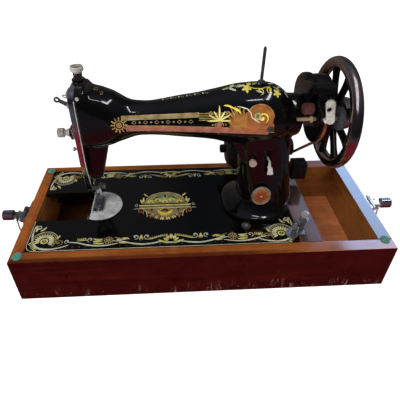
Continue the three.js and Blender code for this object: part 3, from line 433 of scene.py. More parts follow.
def loft(name, rings):
    """A closed skin over rings of points, each with as many points as the next."""
    count = len(rings[0])
    points = [p for ring in rings for p in ring]
    faces = [tuple(range(count)), tuple(range(len(points) - 1, len(points) - count - 1, -1))]
    for r in range(len(rings) - 1):
        for i in range(count):
            a, b = r * count + i, r * count + (i + 1) % count
            faces.append((a, b, b + count, a + count))
    return tidy_normals(mesh_object(name, points, faces))


def prism(name, axis, outline, start, end):
    """An outline in the two other coordinates, carried along an axis."""
    return loft(name, [[oriented(axis, along, u, v) for u, v in outline] for along in (start, end)])


def block(name, x0, x1, y0, y1, z0, z1):
    return prism(name, "z", [(x0, y0), (x1, y0), (x1, y1), (x0, y1)], z0, z1)


def spline(points, steps):
    """A smooth row of points through the given ones."""
    row = [Vector(p) for p in points]
    row = [row[0] * 2 - row[1], *row, row[-1] * 2 - row[-2]]
    out = []
    for a, b, c, d in zip(row, row[1:], row[2:], row[3:]):
        for i in range(steps):
            t = i / steps
            out.append(0.5 * (b * 2 + (c - a) * t + (a * 2 - b * 5 + c * 4 - d) * t * t
                              + (b * 3 - a - c * 3 + d) * t ** 3))
    return [*out, row[-2]]


def sweep(name, path, radius, sides=12, closed=False, flatten=1.0):
    """A round or oval rod along a path; radius is a number or a function of 0 to 1 along it."""
    count = len(path)
    thickness = radius if callable(radius) else (lambda t: radius)
    ahead = (path[1] - path[0]).normalized()
    across = ahead.orthogonal().normalized()
    points, faces = [], []
    for i, p in enumerate(path):
        after = path[(i + 1) % count] if closed or i + 1 < count else p
        before = path[i - 1] if closed or i else p
        ahead = (after - before).normalized()
        across = (across - ahead * across.dot(ahead)).normalized()
        upright = ahead.cross(across)
        r = thickness(i / max(count - 1, 1))
        for k in range(sides):
            angle = 2 * math.pi * k / sides
            points.append(p + across * (r * math.cos(angle)) + upright * (r * flatten * math.sin(angle)))
    for i in range(count if closed else count - 1):
        for k in range(sides):
            a, b = i * sides, ((i + 1) % count) * sides
            m = (k + 1) % sides
            faces.append((a + k, a + m, b + m, b + k))
    if not closed:
        faces += [tuple(range(sides - 1, -1, -1)), tuple(range((count - 1) * sides, count * sides))]
    return tidy_normals(mesh_object(name, points, faces))


def around(x, y, radius, angle, stretch=1.0):
    """The point at an angle in degrees on a circle, or on an oval that is stretched along y."""
    turn = math.radians(angle)
    return x + radius * math.cos(turn), y + radius * stretch * math.sin(turn)


def arc(centre, radius, start, end, steps):
    """Points on an arc, in degrees."""
    angles = [math.radians(start + (end - start) * i / steps) for i in range(steps + 1)]
    return [(centre[0] + radius * math.cos(a), centre[1] + radius * math.sin(a)) for a in angles]


def rounded(x0, x1, y0, y1, radius, steps=8):
    corners = [(x1 - radius, y0 + radius, -90), (x1 - radius, y1 - radius, 0),
               (x0 + radius, y1 - radius, 90), (x0 + radius, y0 + radius, 180)]
    return [p for x, y, start in corners for p in arc((x, y), radius, start, start + 90, steps)]


def applied(obj):
    """Turns the object's modifiers into its mesh."""
    graph = bpy.context.evaluated_depsgraph_get()
    mesh = bpy.data.meshes.new_from_object(obj.evaluated_get(graph))
    obj.modifiers.clear()
    obj.data = mesh
    return obj


def discard(obj):
    bpy.data.objects.remove(obj)


def combine(obj, operation, *others):
    for other in others:
        change = obj.modifiers.new(operation, "BOOLEAN")
        change.operation = operation
        change.solver = "EXACT"
        change.object = other
        applied(obj)
        discard(other)
    return obj


def cut(obj, *others):
    return combine(obj, "DIFFERENCE", *others)


def fused(obj, *others):
    return combine(obj, "UNION", *others)


def gathered(name, *parts):
    """Several closed shells as one mesh, each with its own material."""
    work = bmesh.new()
    materials = []
    for part in parts:
        offset = len(materials)
        materials += list(part.data.materials) or [None]
        known = len(work.faces)
        work.from_mesh(part.data)
        work.faces.ensure_lookup_table()
        for face in work.faces[known:]:
            face.material_index += offset
    mesh = bpy.data.meshes.new(name)
    work.to_mesh(mesh)
    work.free()
    for material in materials:
        mesh.materials.append(material)
    for part in parts:
        discard(part)
    made = bpy.data.objects.new(name, mesh)
    scene.collection.objects.link(made)
    return made


def smooth(obj):
    obj.data.polygons.foreach_set("use_smooth", [True] * len(obj.data.polygons))


def bevel(obj, width, segments, angle):
    change = obj.modifiers.new("edges", "BEVEL")
    change.width = width * MM
    change.segments = segments
    change.limit_method = "ANGLE"
    change.angle_limit = math.radians(angle)


def softened(obj, width=0.4, segments=2, angle=35):
    """Rounded edges and smooth shading, baked into the mesh."""
    if width:
        bevel(obj, width, segments, angle)
        applied(obj)
    smooth(obj)
    obj.data.set_sharp_from_angle(angle=math.radians(angle + 8))
    return obj


def spun(name, axis, profile, at, sides, look, angle=40):
    """A lathe piece with smooth shading and its look."""
    return painted(softened(lathe(name, axis, profile, at, sides), 0, 1, angle), look)


def painted(obj, look):
    obj.data.materials.clear()
    obj.data.materials.append(LOOKS[look])
    return obj


def mounted(obj, body, slot, *nodes):
    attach(obj, body)
    if nodes:
        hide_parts(*nodes)
    return obj


def screw(name, axis, at, face, outward, radius=3.2, height=1.8, look="nickel"):
    """A slotted screw head that stands out of a face."""
    s = outward
    head = lathe(name, axis, [(0, face), (radius, face), (radius, face + s * height * 0.55),
                              (radius * 0.8, face + s * height * 0.9), (0, face + s * height)], at, 32)
    slot_width = radius * 0.16
    u0, u1, v0, v1 = at[0] - radius * 1.2, at[0] + radius * 1.2, at[1] - slot_width, at[1] + slot_width
    low, high = sorted((face + s * height * 0.5, face + s * height * 1.4))
    cut(head, prism("slot", axis, [(u0, v0), (u1, v0), (u1, v1), (u0, v1)], low, high))
    softened(head, 0.12, 1)
    return painted(head, look)


# ---------------------------------------------------------------- CAD nodes that keep their shape


KEPT_ANGLE = 35  # edges sharper than this are rounded


def keep(node, look, width, segments):
    """A CAD node with rounded edges, smooth shading and a better material."""
    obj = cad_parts[node]
    weld = obj.modifiers.new("weld", "WELD")
    weld.merge_threshold = 1e-6
    if width:
        bevel(obj, width, segments, KEPT_ANGLE)
    smooth(obj)
    split = obj.modifiers.new("split", "EDGE_SPLIT")
    split.split_angle = math.radians(KEPT_ANGLE + 5)
    flat = obj.modifiers.new("flat", "WEIGHTED_NORMAL")
    flat.weight = 80
    flat.keep_sharp = True
    for place in obj.material_slots:
        place.material = LOOKS[look]
    return obj


for kept_look, kept_width, kept_segments, kept_nodes in (
    ("wood_x", 1.0, 3, ("front_board", "back_board")),
    ("wood_y", 1.0, 3, ("left_board",)),
    ("wood_right", 1.0, 3, ("right_board",)),
    ("wood_divider", 1.0, 3, ("divider_board",)),
    ("ply", 0.5, 2, ("bottom_board",)),
    # The front ledge gets the near-black wood of painted shade.
    ("ply_painted_shade", 0.5, 2, ("front_ledge",)),
    ("japan", 1.1, 3, ("bed",)),
    ("japan", 1.2, 3, ("winder_frame",)),
    ("japan", 0.6, 2, ("motor_bracket",)),
    ("steel", 0.25, 2, ("feed_dog", "hook_race", "hook_shaft", "bobbin_case", "needle", "arm_shaft",
                        "needle_bar_crank", "motor_pulley")),
    ("dark_steel", 0.2, 2, ("spool_pin",)),
    ("pale_steel", 0.25, 2, ("needle_plate",)),
    ("chrome", 0.25, 2, ("needle_bar", "presser_bar", "presser_foot", "presser_lifter", "take_up_lever",
                         "tension_discs", "clutch_knob", "bed_stud", "latch_knob_left", "latch_knob_right",
                         "hook")),
    # The winder cam takes the brown-red plating that paints in a red reflection.
    ("cam_red_reflection", 0.4, 2, ("winder_cam",)),
    ("nickel", 0.25, 2, ("tension_nut", "winding_tension_nut", "latch_plate_right", "latch_arm_right",
                         "latch_bail_right")),
    ("tarnished", 0.25, 2, ("needle_clamp", "winding_tension", "latch_plate_left", "latch_arm_left",
                            "latch_bail_left")),
    ("brass", 0.2, 2, ("base_hinge_left", "base_hinge_right", "bed_hinge_left", "bed_hinge_right")),
    ("bakelite", 0.5, 2, ("motor_housing",)),
    ("bakelite", 0.8, 2, ("terminal_block",)),
    ("rubber", 0.4, 2, ("winder_tyre",)),
    ("leather", 0, 2, ("drive_belt",)),
):
    for kept_node in kept_nodes:
        keep(kept_node, kept_look, kept_width, kept_segments)

# ---------------------------------------------------------------- the arm casting

# Axes, as the two coordinates other than the one they run along.
SHAFT = (2.4, 222.4)
NEEDLE_BAR = (-153.5, -1)
PRESSER_BAR = (-153.5, 13)
SPINDLE = (-38, 236.6)

# x, half height, height of the middle, half depth, squareness
ARM_ROWS = [
    (-154.6, 40.5, 229.5, 25.5, 4.5), (-150, 41.5, 229.5, 27, 4.5), (-143, 41.5, 229.5, 27, 4.4),
    (-139, 38.4, 226.4, 27, 4.2), (-127, 36.5, 225.5, 27, 3.6), (-119, 35, 224.5, 28.6, 2.8),
    (-112, 34, 224.5, 31, 2), (-105, 30.3, 223.5, 29.4, 2), (-98, 26.8, 222.5, 26.8, 2),
    (-91, 24.1, 222, 24.4, 2),
    (-83, 22.7, 222.4, 22.7, 2), (-68, 22.3, 222.2, 22.3, 2), (-50, 24, 223, 24, 2),
    (-30, 26.8, 223.7, 26.6, 2), (-8, 29.4, 224.3, 28.8, 2), (10, 32.4, 225, 31, 2),
    (25, 35.6, 225.2, 33, 2), (40, 38.6, 225.6, 35, 2), (58, 40.3, 225.8, 36.5, 2),
    (76, 40.6, 225.8, 37, 2), (88, 39.4, 225, 36.6, 2), (97, 36, 224, 34.5, 2),
    (104, 31.5, 223, 31, 2), (108, 27, 222.6, 27, 2),
]

# height, middle x, half width in x, half depth in y, squareness
PILLAR_ROWS = [
    (75.3, 82, 50, 50, 2.5), (80.5, 82, 49.5, 49.5, 2.5), (83, 83, 46, 45, 2.5),
    (88, 87, 41.5, 40, 2.6), (97, 93.5, 39, 35.5, 2.7), (112, 92, 38, 33, 2.8),
    (130, 90, 37, 31.5, 2.8), (155, 86.5, 35.8, 30.5, 2.8), (180, 84, 36.5, 30.5, 2.6),
    (200, 80, 39, 31, 2.5), (222, 76, 40, 30, 2.4),
]


def finer(rows, steps):
    """Rows of numbers with smooth in-between rows."""
    out = []
    for k in range(len(rows) - 1):
        a, b, c, d = (rows[max(0, min(len(rows) - 1, k + o))] for o in (-1, 0, 1, 2))
        for i in range(steps):
            t = i / steps
            row = []
            for p, q, r, s in zip(a, b, c, d):
                row.append(0.5 * (2 * q + (r - p) * t + (2 * p - 5 * q + 4 * r - s) * t * t
                                  + (3 * q - p - 3 * r + s) * t ** 3))
            out.append(row)
    return [*out, list(rows[-1])]


def superellipse(half_u, half_v, power, sides):
    out = []
    for i in range(sides):
        angle = 2 * math.pi * i / sides
        c, s = math.cos(angle), math.sin(angle)
        out.append((math.copysign(half_u * abs(c) ** (2 / power), c),
                    math.copysign(half_v * abs(s) ** (2 / power), s)))
    return out


def face_outline(inset, low=0, high=400, steps=10):
    """The face plate's outline in (y, z), cut off below low and above high."""
    front, back, top, bottom = -22 + inset, 28 - inset, 268.5 - inset, 116 + inset
    corner = 14 - inset
    shoulder, draw = 165, 9
    points = [(front + draw + 5, bottom), (back - draw - 5, bottom), (back - draw - 1, bottom + 1.4),
              (back - draw + 1, bottom + 6), (back, shoulder)]
    points += arc((back - corner, top - corner), corner, 0, 90, steps)
    points += arc((front + corner, top - corner), corner, 90, 180, steps)
    points += [(front, shoulder), (front + draw - 1, bottom + 6), (front + draw + 1, bottom + 1.4)]
    return [(y, max(low, min(high, z))) for y, z in points]


def wire(name, points, steps, radius, sides, look):
    """A round wire along a smooth line through the points."""
    return painted(sweep(name, spline(points, steps), radius, sides), look)


def bore(axis, start, end, at, radius):
    return lathe("bore", axis, [(0, start), (radius, start), (radius, end), (0, end)], at, 40)


def arm_casting():
    sides = 96
    rings = []
    for x, half_height, middle, half_depth, power in finer(ARM_ROWS, 5):
        section = superellipse(half_depth, half_height, power, sides)
        rings.append([(x, SHAFT[0] + u, middle + v) for u, v in section])
    arm = loft("arm", rings)
    rings = []
    for z, x, half_x, half_y, power in finer(PILLAR_ROWS, 5):
        rings.append([(x + u, SHAFT[0] + v, z) for u, v in superellipse(half_x, half_y, power, sides)])
    pillar = loft("pillar", rings)
    boss = lathe("boss", "x", [(0, 90), (29, 90), (28, 112), (28, 122), (26, 125), (0, 125)], SHAFT, 96)
    outline = [(-154.6, 133.6), (-142, 133.6), (-137.6, 139), (-124, 192), (-154.6, 192)]
    nose = prism("nose", "y", outline, -11, 21)
    outline = [(60, 172), (60, 205), (18, 197), (30, 193.5), (40, 187), (46.5, 177), (50, 166), (51, 160),
               (60, 160)]
    web = prism("web", "y", outline, SHAFT[0] - 21, SHAFT[0] + 21)
    body = gathered("arm_casting", arm, pillar, boss, nose, web)
    change = body.modifiers.new("one_skin", "REMESH")
    change.mode = "VOXEL"
    change.voxel_size = 1.5 * MM
    change = body.modifiers.new("cast", "SMOOTH")
    change.factor = 0.5
    change.iterations = 24
    applied(body)

    cut(body, bore("x", -134, 130, SHAFT, 11.5))
    cut(body, prism("well", "x", face_outline(4.2, 194, 252), -170, -131))
    cut(body, prism("well", "x", face_outline(4.2, 240, 258), -170, -143.5))
    cut(body, block("well", -168, -143.9, -7.6, 31, 145, 199))
    cut(body, bore("z", 110, 145, NEEDLE_BAR, 3.95), bore("z", 110, 145, PRESSER_BAR, 3.95))
    cut(body, bore("z", 250, 290, PRESSER_BAR, 4.7))
    cut(body, block("slot", 82.6, 88.8, -60, 6, 151, 185.5))
    cut(body, bore("z", 245, 275, (71.5, SHAFT[0]), 2.95))
    smooth(body)
    body.data.set_sharp_from_angle(angle=math.radians(50))
    painted(body, "japan")
    return mounted(body, "head", "japan", "arm")


ARM = arm_casting()

# ---------------------------------------------------------------- gilt ornament


class Ornament:
    """Flat leaves, strips, dots and scrolls in a plane, gathered by colour."""

    def __init__(self):
        self.shapes = {}

    def polygon(self, look, points):
        self.shapes.setdefault(look, []).append([tuple(p) for p in points])

    def strip(self, look, path, width, taper=True):
        path = [Vector(p) for p in path]
        count = len(path)
        sides = []
        for i, p in enumerate(path):
            ahead = (path[min(i + 1, count - 1)] - path[max(i - 1, 0)]).normalized()
            reach = width / 2 * (math.sin(math.pi * (0.08 + 0.84 * i / (count - 1))) ** 0.7 if taper else 1)
            across = Vector((-ahead.y, ahead.x)) * reach
            sides.append((p + across, p - across))
        for (a, b), (c, d) in zip(sides, sides[1:]):
            self.polygon(look, (a, b, d, c))

    def curve(self, look, points, width):
        """A strip along a smooth line through the points."""
        self.strip(look, spline(points, 6), width)

    def leaf(self, look, x, y, angle, length, width, bend=0.0):
        angle = math.radians(angle)
        path = []
        for i in range(9):
            t = i / 8
            turn = angle + math.radians(bend) * t
            path.append((x + length * t * math.cos(turn), y + length * t * math.sin(turn)))
        self.strip(look, path, width)

    def dot(self, look, x, y, radius, sides=10):
        self.polygon(look, [(x + radius * math.cos(2 * math.pi * i / sides),
                             y + radius * math.sin(2 * math.pi * i / sides)) for i in range(sides)])

    def ring(self, look, x, y, radius, width, start=0, sweep_angle=360, squash=1.0):
        steps = max(8, int(abs(sweep_angle) / 12))
        path = []
        for i in range(steps + 1):
            a = math.radians(start + sweep_angle * i / steps)
            path.append((x + radius * math.cos(a), y + radius * squash * math.sin(a)))
        self.strip(look, path, width, False)

    def scroll(self, look, x, y, radius, angle, width, hand=1, turns=1.5):
        """A spiral that opens from its eye at x, y and ends at the given angle."""
        steps = int(26 * turns)
        path = []
        for i in range(steps + 1):
            t = i / steps
            a = math.radians(angle) - hand * 2 * math.pi * turns * (1 - t)
            path.append((x + radius * t ** 1.15 * math.cos(a), y + radius * t ** 1.15 * math.sin(a)))
        self.strip(look, path, width)
        self.dot(look, x, y, width * 0.62)

    def fan(self, look, x, y, count, start, end, length, width, bend=0):
        for i in range(count):
            t = i / (count - 1)
            angle = start + (end - start) * t
            reach = length * (0.75 + 0.25 * math.sin(math.pi * t))
            self.leaf(look, x, y, angle, reach, width, bend)

    def lozenge(self, look, x, y, half_u, half_v, width=0):
        corners = [(x - half_u, y), (x, y + half_v), (x + half_u, y), (x, y - half_v)]
        if not width:
            self.polygon(look, corners)
            return
        inner = [(x + (u - x) * (1 - width / half_u), y + (v - y) * (1 - width / half_v)) for u, v in corners]
        for i in range(4):
            j = (i + 1) % 4
            self.polygon(look, (corners[i], corners[j], inner[j], inner[i]))

    def build(self, name, body, place):
        """Lays the shapes on a surface: place turns a flat point into one in millimetres, or None."""
        parts = []
        for index, (look, shapes) in enumerate(self.shapes.items()):
            points, faces = [], []
            for shape in shapes:
                placed = [place(u, v, index) for u, v in shape]
                if any(p is None for p in placed):
                    continue
                faces.append(tuple(range(len(points), len(points) + len(placed))))
                points += placed
            if not faces:
                continue
            part = mesh_object(name, points, faces)
            parts.append(painted(part, look))
        return mounted(gathered(name, *parts), body, "japan")


def mirrored(x, y, hand, outward):
    """Turns places and angles drawn once into those of a copy at x, y; hand and outward are 1 or -1."""
    def at(along, off):
        return x + hand * along, y + outward * off

    def turned(angle):
        angle = angle if outward > 0 else -angle
        return angle if hand > 0 else 180 - angle

    return at, turned, hand * outward


def border_half(art, x0, y0, hand, outward, length):
    """Half of a border that starts at its middle flower; outward is +1 where up is away from the edge."""
    at, turned, flip = mirrored(x0, y0, hand, outward)
    first = ((4, 3), (14, 4.5), (26, 2.2), (40, 1.2), (54, 3.8), (68, 8), (80, 9.5))
    second = ((72, 4.6), (86, 1.6), (100, 1.2), (114, 3.6), (126, 7.5), (length - 4, 9.5))
    for run in (first, second):
        art.curve("white_gold", [at(*p) for p in run], 2.4)
    art.curve("pale_gold", [at(*p) for p in ((3, 15), (10, 15.5), (18, 13.5), (27, 10.5), (36, 10))], 1.6)
    for k in range(9):
        u = 5 + 2.9 * k
        art.leaf("pale_gold", *at(u, 14.6 - 0.016 * u * u * 0.35 + 0.2), turned(72), 4.4 - 0.22 * k, 1.3)
    art.leaf("pale_gold", *at(2, 2), turned(12), 16, 3.2, flip * 8)
    art.scroll("white_gold", *at(33, 15), 4.8, turned(-100), 1.3, -flip, 1.3)
    art.leaf("pale_gold", *at(41, 8), turned(90), 10.5, 3.6)
    art.leaf("pale_gold", *at(41, 8), turned(62), 6, 2)
    art.leaf("pale_gold", *at(41, 8), turned(118), 6, 2)
    art.scroll("white_gold", *at(49, 15), 4.8, turned(-80), 1.3, flip, 1.3)
    for k in range(3):
        art.leaf("pale_gold", *at(57 + 5 * k, 11.6 - k), turned(28), 9.5 - k, 2.6, flip * -16)
    art.leaf("pale_gold", *at(58, 5.4), turned(-8), 13, 2.8, flip * 10)
    art.leaf("gold", *at(66, 12), turned(8), 12, 2.2, flip * 12)
    for k in range(6):
        art.leaf("gold", *at(85, 10.4), turned(90 + 60 * k), 7.4, 2.0)
    art.dot("pale_gold", *at(85, 10.4), 2.0)
    for angle in range(0, 360, 60):
        art.dot("white_gold", *at(*around(85, 10.4, 5.6, angle)), 0.8, 6)
    art.leaf("pale_gold", *at(91, 5), turned(-5), 14, 3.0, flip * 10)
    art.leaf("pale_gold", *at(93, 13), turned(-20), 13, 2.6, flip * 26)
    art.leaf("pale_gold", *at(93, 9.4), turned(0), 13, 2.6)
    art.scroll("white_gold", *at(110, 12.6), 4.6, turned(-90), 1.2, -flip, 1.3)
    for k in range(5):
        art.leaf("pale_gold", *at(116 + 2.6 * k, 12.2), turned(75), 4.4 - 0.3 * k, 1.3)
    art.strip("pale_gold", [at(114, 11.6), at(120, 12), at(128, 11)], 1.3)
    for k in range(int(length / 9)):
        art.dot("gold", *at(6 + 9 * k, 0.2), 0.55, 6)


def border(art, middle, edge, outward, left, right):
    border_half(art, middle, edge, 1, outward, right - middle)
    border_half(art, middle, edge, -1, outward, middle - left)
    up = 90 * outward
    for spread, long, wide in ((0, 14, 5.4), (30, 13, 4.6), (-30, 13, 4.6), (58, 12, 4), (-58, 12, 4),
                               (84, 9, 3), (-84, 9, 3)):
        art.leaf("pale_gold", middle, edge + outward * 4.4, up + spread, long, wide)
    art.dot("white_gold", middle, edge + outward * 3.4, 2.4)


def corner_shell(art, x, y, to_middle, inward):
    """A shell in a corner of the bed: x, y is the outer corner of its square."""
    at, turned, flip = mirrored(x, y, to_middle, inward)
    cx, cy = 22, 17
    art.ring("pale_gold", *at(cx, cy), 4.2, 2.2, squash=0.85)
    art.dot("gold", *at(cx, cy), 2.0)
    for k in range(15):
        angle = turned(-30 + 16 * k)
        art.leaf("pale_gold" if k % 2 else "white_gold", *around(*at(cx, cy), 6.5, angle), angle, 7.6, 2.6)
    start = turned(-38)
    art.ring("gold", *at(cx, cy), 15.6, 1.2, start, flip * 244)
    art.ring("white_gold", *at(cx, cy), 18, 0.9, turned(10), flip * 150)
    edge = ((3.5, 47), (3, 36), (4.5, 24), (9, 12), (18, 4.5), (32, 2.4), (46, 5), (56, 9))
    art.curve("white_gold", [at(*p) for p in edge], 2.8)
    art.scroll("white_gold", *at(9, 43), 5.4, turned(200), 1.5, flip, 1.3)
    art.leaf("pale_gold", *at(6, 36), turned(70), 12, 3.2, flip * 30)
    art.leaf("pale_gold", *at(12, 37), turned(20), 10, 2.8, flip * 30)
    for k in range(6):
        art.leaf("pale_gold", *at(6 + 1.9 * k, 16 - 2.5 * k), turned(222), 5.6, 1.6)
    art.scroll("gold", *at(42, 14), 6, turned(-95), 1.4, -flip, 1.5)
    art.leaf("pale_gold", *at(36, 20), turned(35), 9, 2.8, flip * 20)
    art.scroll("white_gold", *at(53, 15.5), 4, turned(-90), 1.1, flip, 1.2)


def cartouche(art, x, y):
    """The ornament in the middle of the bed: an arch over a bar over a scalloped lobe."""
    steps = 26
    arch = [(x + 31 * math.cos(math.pi * i / steps), y + 5 + 26 * math.sin(math.pi * i / steps))
            for i in range(steps + 1)]
    for (a, b), (c, d) in zip(arch, arch[1:]):
        art.polygon("tan", ((a, y + 5), (a, b), (c, d), (c, y + 5)))
    art.strip("pale_gold", arch, 1.8, False)
    art.ring("green", x, y + 8, 19, 3.6, 20, 140, 0.8)
    for k in range(8):
        angle = 12 + 22.3 * k
        art.leaf("leaf_green", *around(x, y + 8, 7, angle, 5 / 7), angle, 15, 4.4, 24 if k % 2 else -24)
    for k in range(5):
        art.fan("yellow", x - 22 + 11 * k, y + 7 + 4 * (k % 2), 5, 20, 160, 7.4, 2.4)
    art.ring("white_gold", x, y + 18, 4.6, 1.2)
    art.scroll("white_gold", x - 6, y + 22, 5, 200, 1.2, 1, 1.3)
    art.scroll("white_gold", x + 6, y + 22, 5, -20, 1.2, -1, 1.3)
    for side in (1, -1):
        art.fan("pale_gold", x + side * 33, y + 5, 3, 90 - 24, 90 + 24, 15, 3)
        art.leaf("pale_gold", x + side * 27, y + 22, 90 - side * 40, 9, 2.6)
        art.lozenge("white_gold", x + side * 43, y + 2.2, 2.6, 3.4, 0.9)
        art.strip("white_gold", [(x + side * reach, y - 5.5) for reach in (38, 42, 47)], 1)
        art.scroll("rose", x + side * 36, y - 12, 5, 90 + side * 60, 1.6, side, 1.3)
        art.leaf("rose", x + side * 32, y - 10, -90, 8, 2)
    art.strip("pale_gold", [(x - 39, y + 1.4), (x, y + 1.4), (x + 39, y + 1.4)], 2.4, False)
    art.strip("tan", [(x - 37, y - 1.8), (x, y - 1.8), (x + 37, y - 1.8)], 2.2, False)
    art.strip("pale_gold", [(x - 39, y - 4.6), (x, y - 4.6), (x + 39, y - 4.6)], 1.8, False)
    lobe = [(x + 21 * math.cos(math.pi * i / steps), y - 6 - 19 * math.sin(math.pi * i / steps))
            for i in range(steps + 1)]
    for side in (1, -1):
        art.polygon("tan", [(x + side * u, y - v) for u, v in ((18, 6), (33, 6), (20, 17))])
        art.strip("pale_gold", [(x + side * u, y - v) for u, v in ((34, 6), (27, 13), (26, 24))], 1.4)
        art.fan("rose", x + side * 21, y - 18, 3, -90 - 40, -90 + 40, 9, 2)
    for (a, b), (c, d) in zip(lobe, lobe[1:]):
        if a != c:
            art.polygon("tan", ((a, y - 6), (a, b), (c, d), (c, y - 6)))
    for i in range(1, steps):
        a, b = lobe[i]
        angle = math.degrees(math.atan2(b - (y - 6), a - x))
        art.leaf("rose" if i % 3 == 1 else "pale_gold", a, b, angle, 6.4, 2.2)
    art.ring("gold", x, y - 6, 17, 1.6, 180, 180, 0.86)
    art.fan("yellow", x, y - 8, 15, 190, 350, 15, 2.2)
    art.ring("dark_gold", x, y - 6, 9, 2.2, 180, 180, 0.86)
    art.ring("white_gold", x, y - 12, 3.6, 1.2)
    art.dot("rose", x, y - 12, 1.8)


def bed_ornament():
    art = Ornament()
    border(art, -46, -81, 1, -190, 98)
    border(art, -46, 86, -1, -190, 98)
    corner_shell(art, -240, -85.6, 1, 1)
    corner_shell(art, -240, 90.4, 1, -1)
    corner_shell(art, 129.5, -85.6, -1, 1)
    corner_shell(art, 129.5, 90.4, -1, -1)
    cartouche(art, -54.5, -3)
    # A thin white-gold line along the bed's left and front edges is a painted highlight of the light on the
    # rounded edge.
    corner = arc((-228.5, -74.6), 11.3, 180, 270, 8)
    wear_and_edge_highlight = [(-239.8, -29), (-239.8, -74), *corner, (-190, -85.9), (118, -85.9)]
    art.strip("white_gold", wear_and_edge_highlight, 0.8, False)
    art.build("bed_gilding", "head", lambda u, v, layer: (u, v, 75.05 + 0.04 * layer))


bed_ornament()

ARM_TREE = BVHTree.FromObject(ARM, bpy.context.evaluated_depsgraph_get())

# The arm's ornament is drawn on a flat sheet that leans against the arm's front and faces 26 degrees upward.
SHEET_SLOPE = math.radians(26)
SHEET_NORMAL = Vector((0, -math.cos(SHEET_SLOPE), math.sin(SHEET_SLOPE)))
SHEET_DOWN = Vector((0, -math.sin(SHEET_SLOPE), -math.cos(SHEET_SLOPE)))
SHEET_AWAY = 200


def on_arm(u, v, layer):
    """A point of the sheet pressed onto the arm: u is X, and v runs down the sheet from the shaft's axis."""
    start = Vector((u, *SHAFT)) + SHEET_DOWN * v + SHEET_NORMAL * SHEET_AWAY
    hit, normal, _, _ = ARM_TREE.ray_cast(start * MM, -SHEET_NORMAL)
    if hit is None:
        return None
    return hit / MM + normal * (0.16 + 0.04 * layer)


def arm_bands(art):
    """The long lines along the arm, with a row of marks between them."""
    upper = [(-101.9 + t, -0.45 - 0.012 * t - 0.00012 * t * t) for t in (3.163 * i for i in range(31))]
    for look, offsets, width in (("tan", (-1.7, 0, 1.7), 1.83), ("gold", (-2.55, 2.55), 0.73)):
        for offset in offsets:
            art.strip(look, [(u, v + offset) for u, v in upper], width, False)
    lower = [(-97.2 + t, 12.5 + 0.024 * t + 0.000113 * t * t) for t in (3.833 * i for i in range(47))]
    for offset in (-2.15, 0, 2.15):
        art.strip("rose", [(u, v + offset) for u, v in lower], 2.3, False)
    art.strip("gold", [(u, v - 3.5) for u, v in lower[:34]], 0.7, False)
    for k in range(11):
        u = -87.1 + 7.02 * k
        if k % 2:
            art.dot("tan", u, 5.4, 1.35, 8)
        else:
            art.lozenge("tan", u, 5.4, 3.05, 2.48, 0.86)
    for k in range(5):
        art.strip("gold", [(-7 + 2.41 * i, -4.2 + 2.05 * k - 0.018 * i) for i in range(16 - k)], 0.73, False)


def arm_star(art, u, v):
    art.ring("gold", u, v, 5.3, 1.08)
    for angle in range(0, 360, 30):
        art.leaf("gold", *around(u, v, 5.7, angle), angle, 4.3, 1.68)
    art.dot("rose", u, v, 2.65)
    art.ring("gold", u, v, 2.9, 0.85)


def arm_lozenge(art, u, v):
    """A double lozenge under a spray of leaves and two scrolls."""
    for size in (8.95, 6.05):
        art.lozenge("gold", u, v, size, size * 1.3, 1.1)
    art.lozenge("rose", u, v, 3.87, 5.04)
    spray = ((-90, 18.3), (-60, 13.4), (-120, 13.4), (-30, 14.6), (-150, 14.6), (0, 15.8), (180, 14.6))
    for angle, length in spray:
        art.leaf("pale_gold", u, v - 5, angle, length, 2.07)
    for side in (1, -1):
        art.scroll("gold", u + side * 9.55 - 0.2, v - 14.15, 3.6, 90, 0.96, side, 1.3)


def arm_shell(art, u, v):
    """A disc of rings over a striped field, with plumes round it."""
    for k in range(9):
        art.ring("copper_red" if k % 3 else "dark_gold", u, v, 0.98 + 1.83 * k, 1.95)
    for k in range(5):
        stripe = [(u - 15.8 + 0.2 * k + 3.7 * i, v + 7 + 1.9 * k + 0.09 * i) for i in range(10)]
        art.strip("copper_red", stripe, 2.03, False)
    art.ring("gold", u, v, 16.9, 0.85, -180, 180)
    art.fan("dark_gold", u - 16.5, v + 12.3, 8, 180, 262, 27.3, 4.4, 10)
    art.fan("gold", u - 17.9, v + 10.2, 7, 188, 250, 29.6, 1.84, 14)
    art.fan("gold", u + 3.1, v + 11.9, 9, 206, 334, 16.2, 3.2)
    for k in range(4):
        art.leaf("yellow", u - 34.3 + 3.57 * k, v - 14.3 + 2.7 * k, 205 + 12 * k, 9.5, 2.02, -14)
    ribbon = ((-28.3, -14.8), (-21.2, -13.4), (-15.3, -11), (-11.7, -6.7), (-10.3, -1.3), (-5.2, 2.4),
              (-0.2, 5))
    art.strip("white_gold", [(u + across, v + down) for across, down in ribbon], 1.43)
    art.scroll("yellow", u + 3.1, v - 0.4, 7.3, 60, 1.94, 1, 1.4)
    art.ring("leaf_green", u - 3.1, v - 2.4, 3.4, 1.94)
    art.dot("rose", u - 17, v - 4.4, 1.94)
    for k in range(9):
        art.dot("dark_gold", u - 33.2 + 5.65 * k, v + 14.6 + 0.11 * k, 1.38, 8)
    art.strip("gold", [(u - 40.3 + 4.95 * i, v + 16.9 + 0.08 * i) for i in range(13)], 0.9, False)


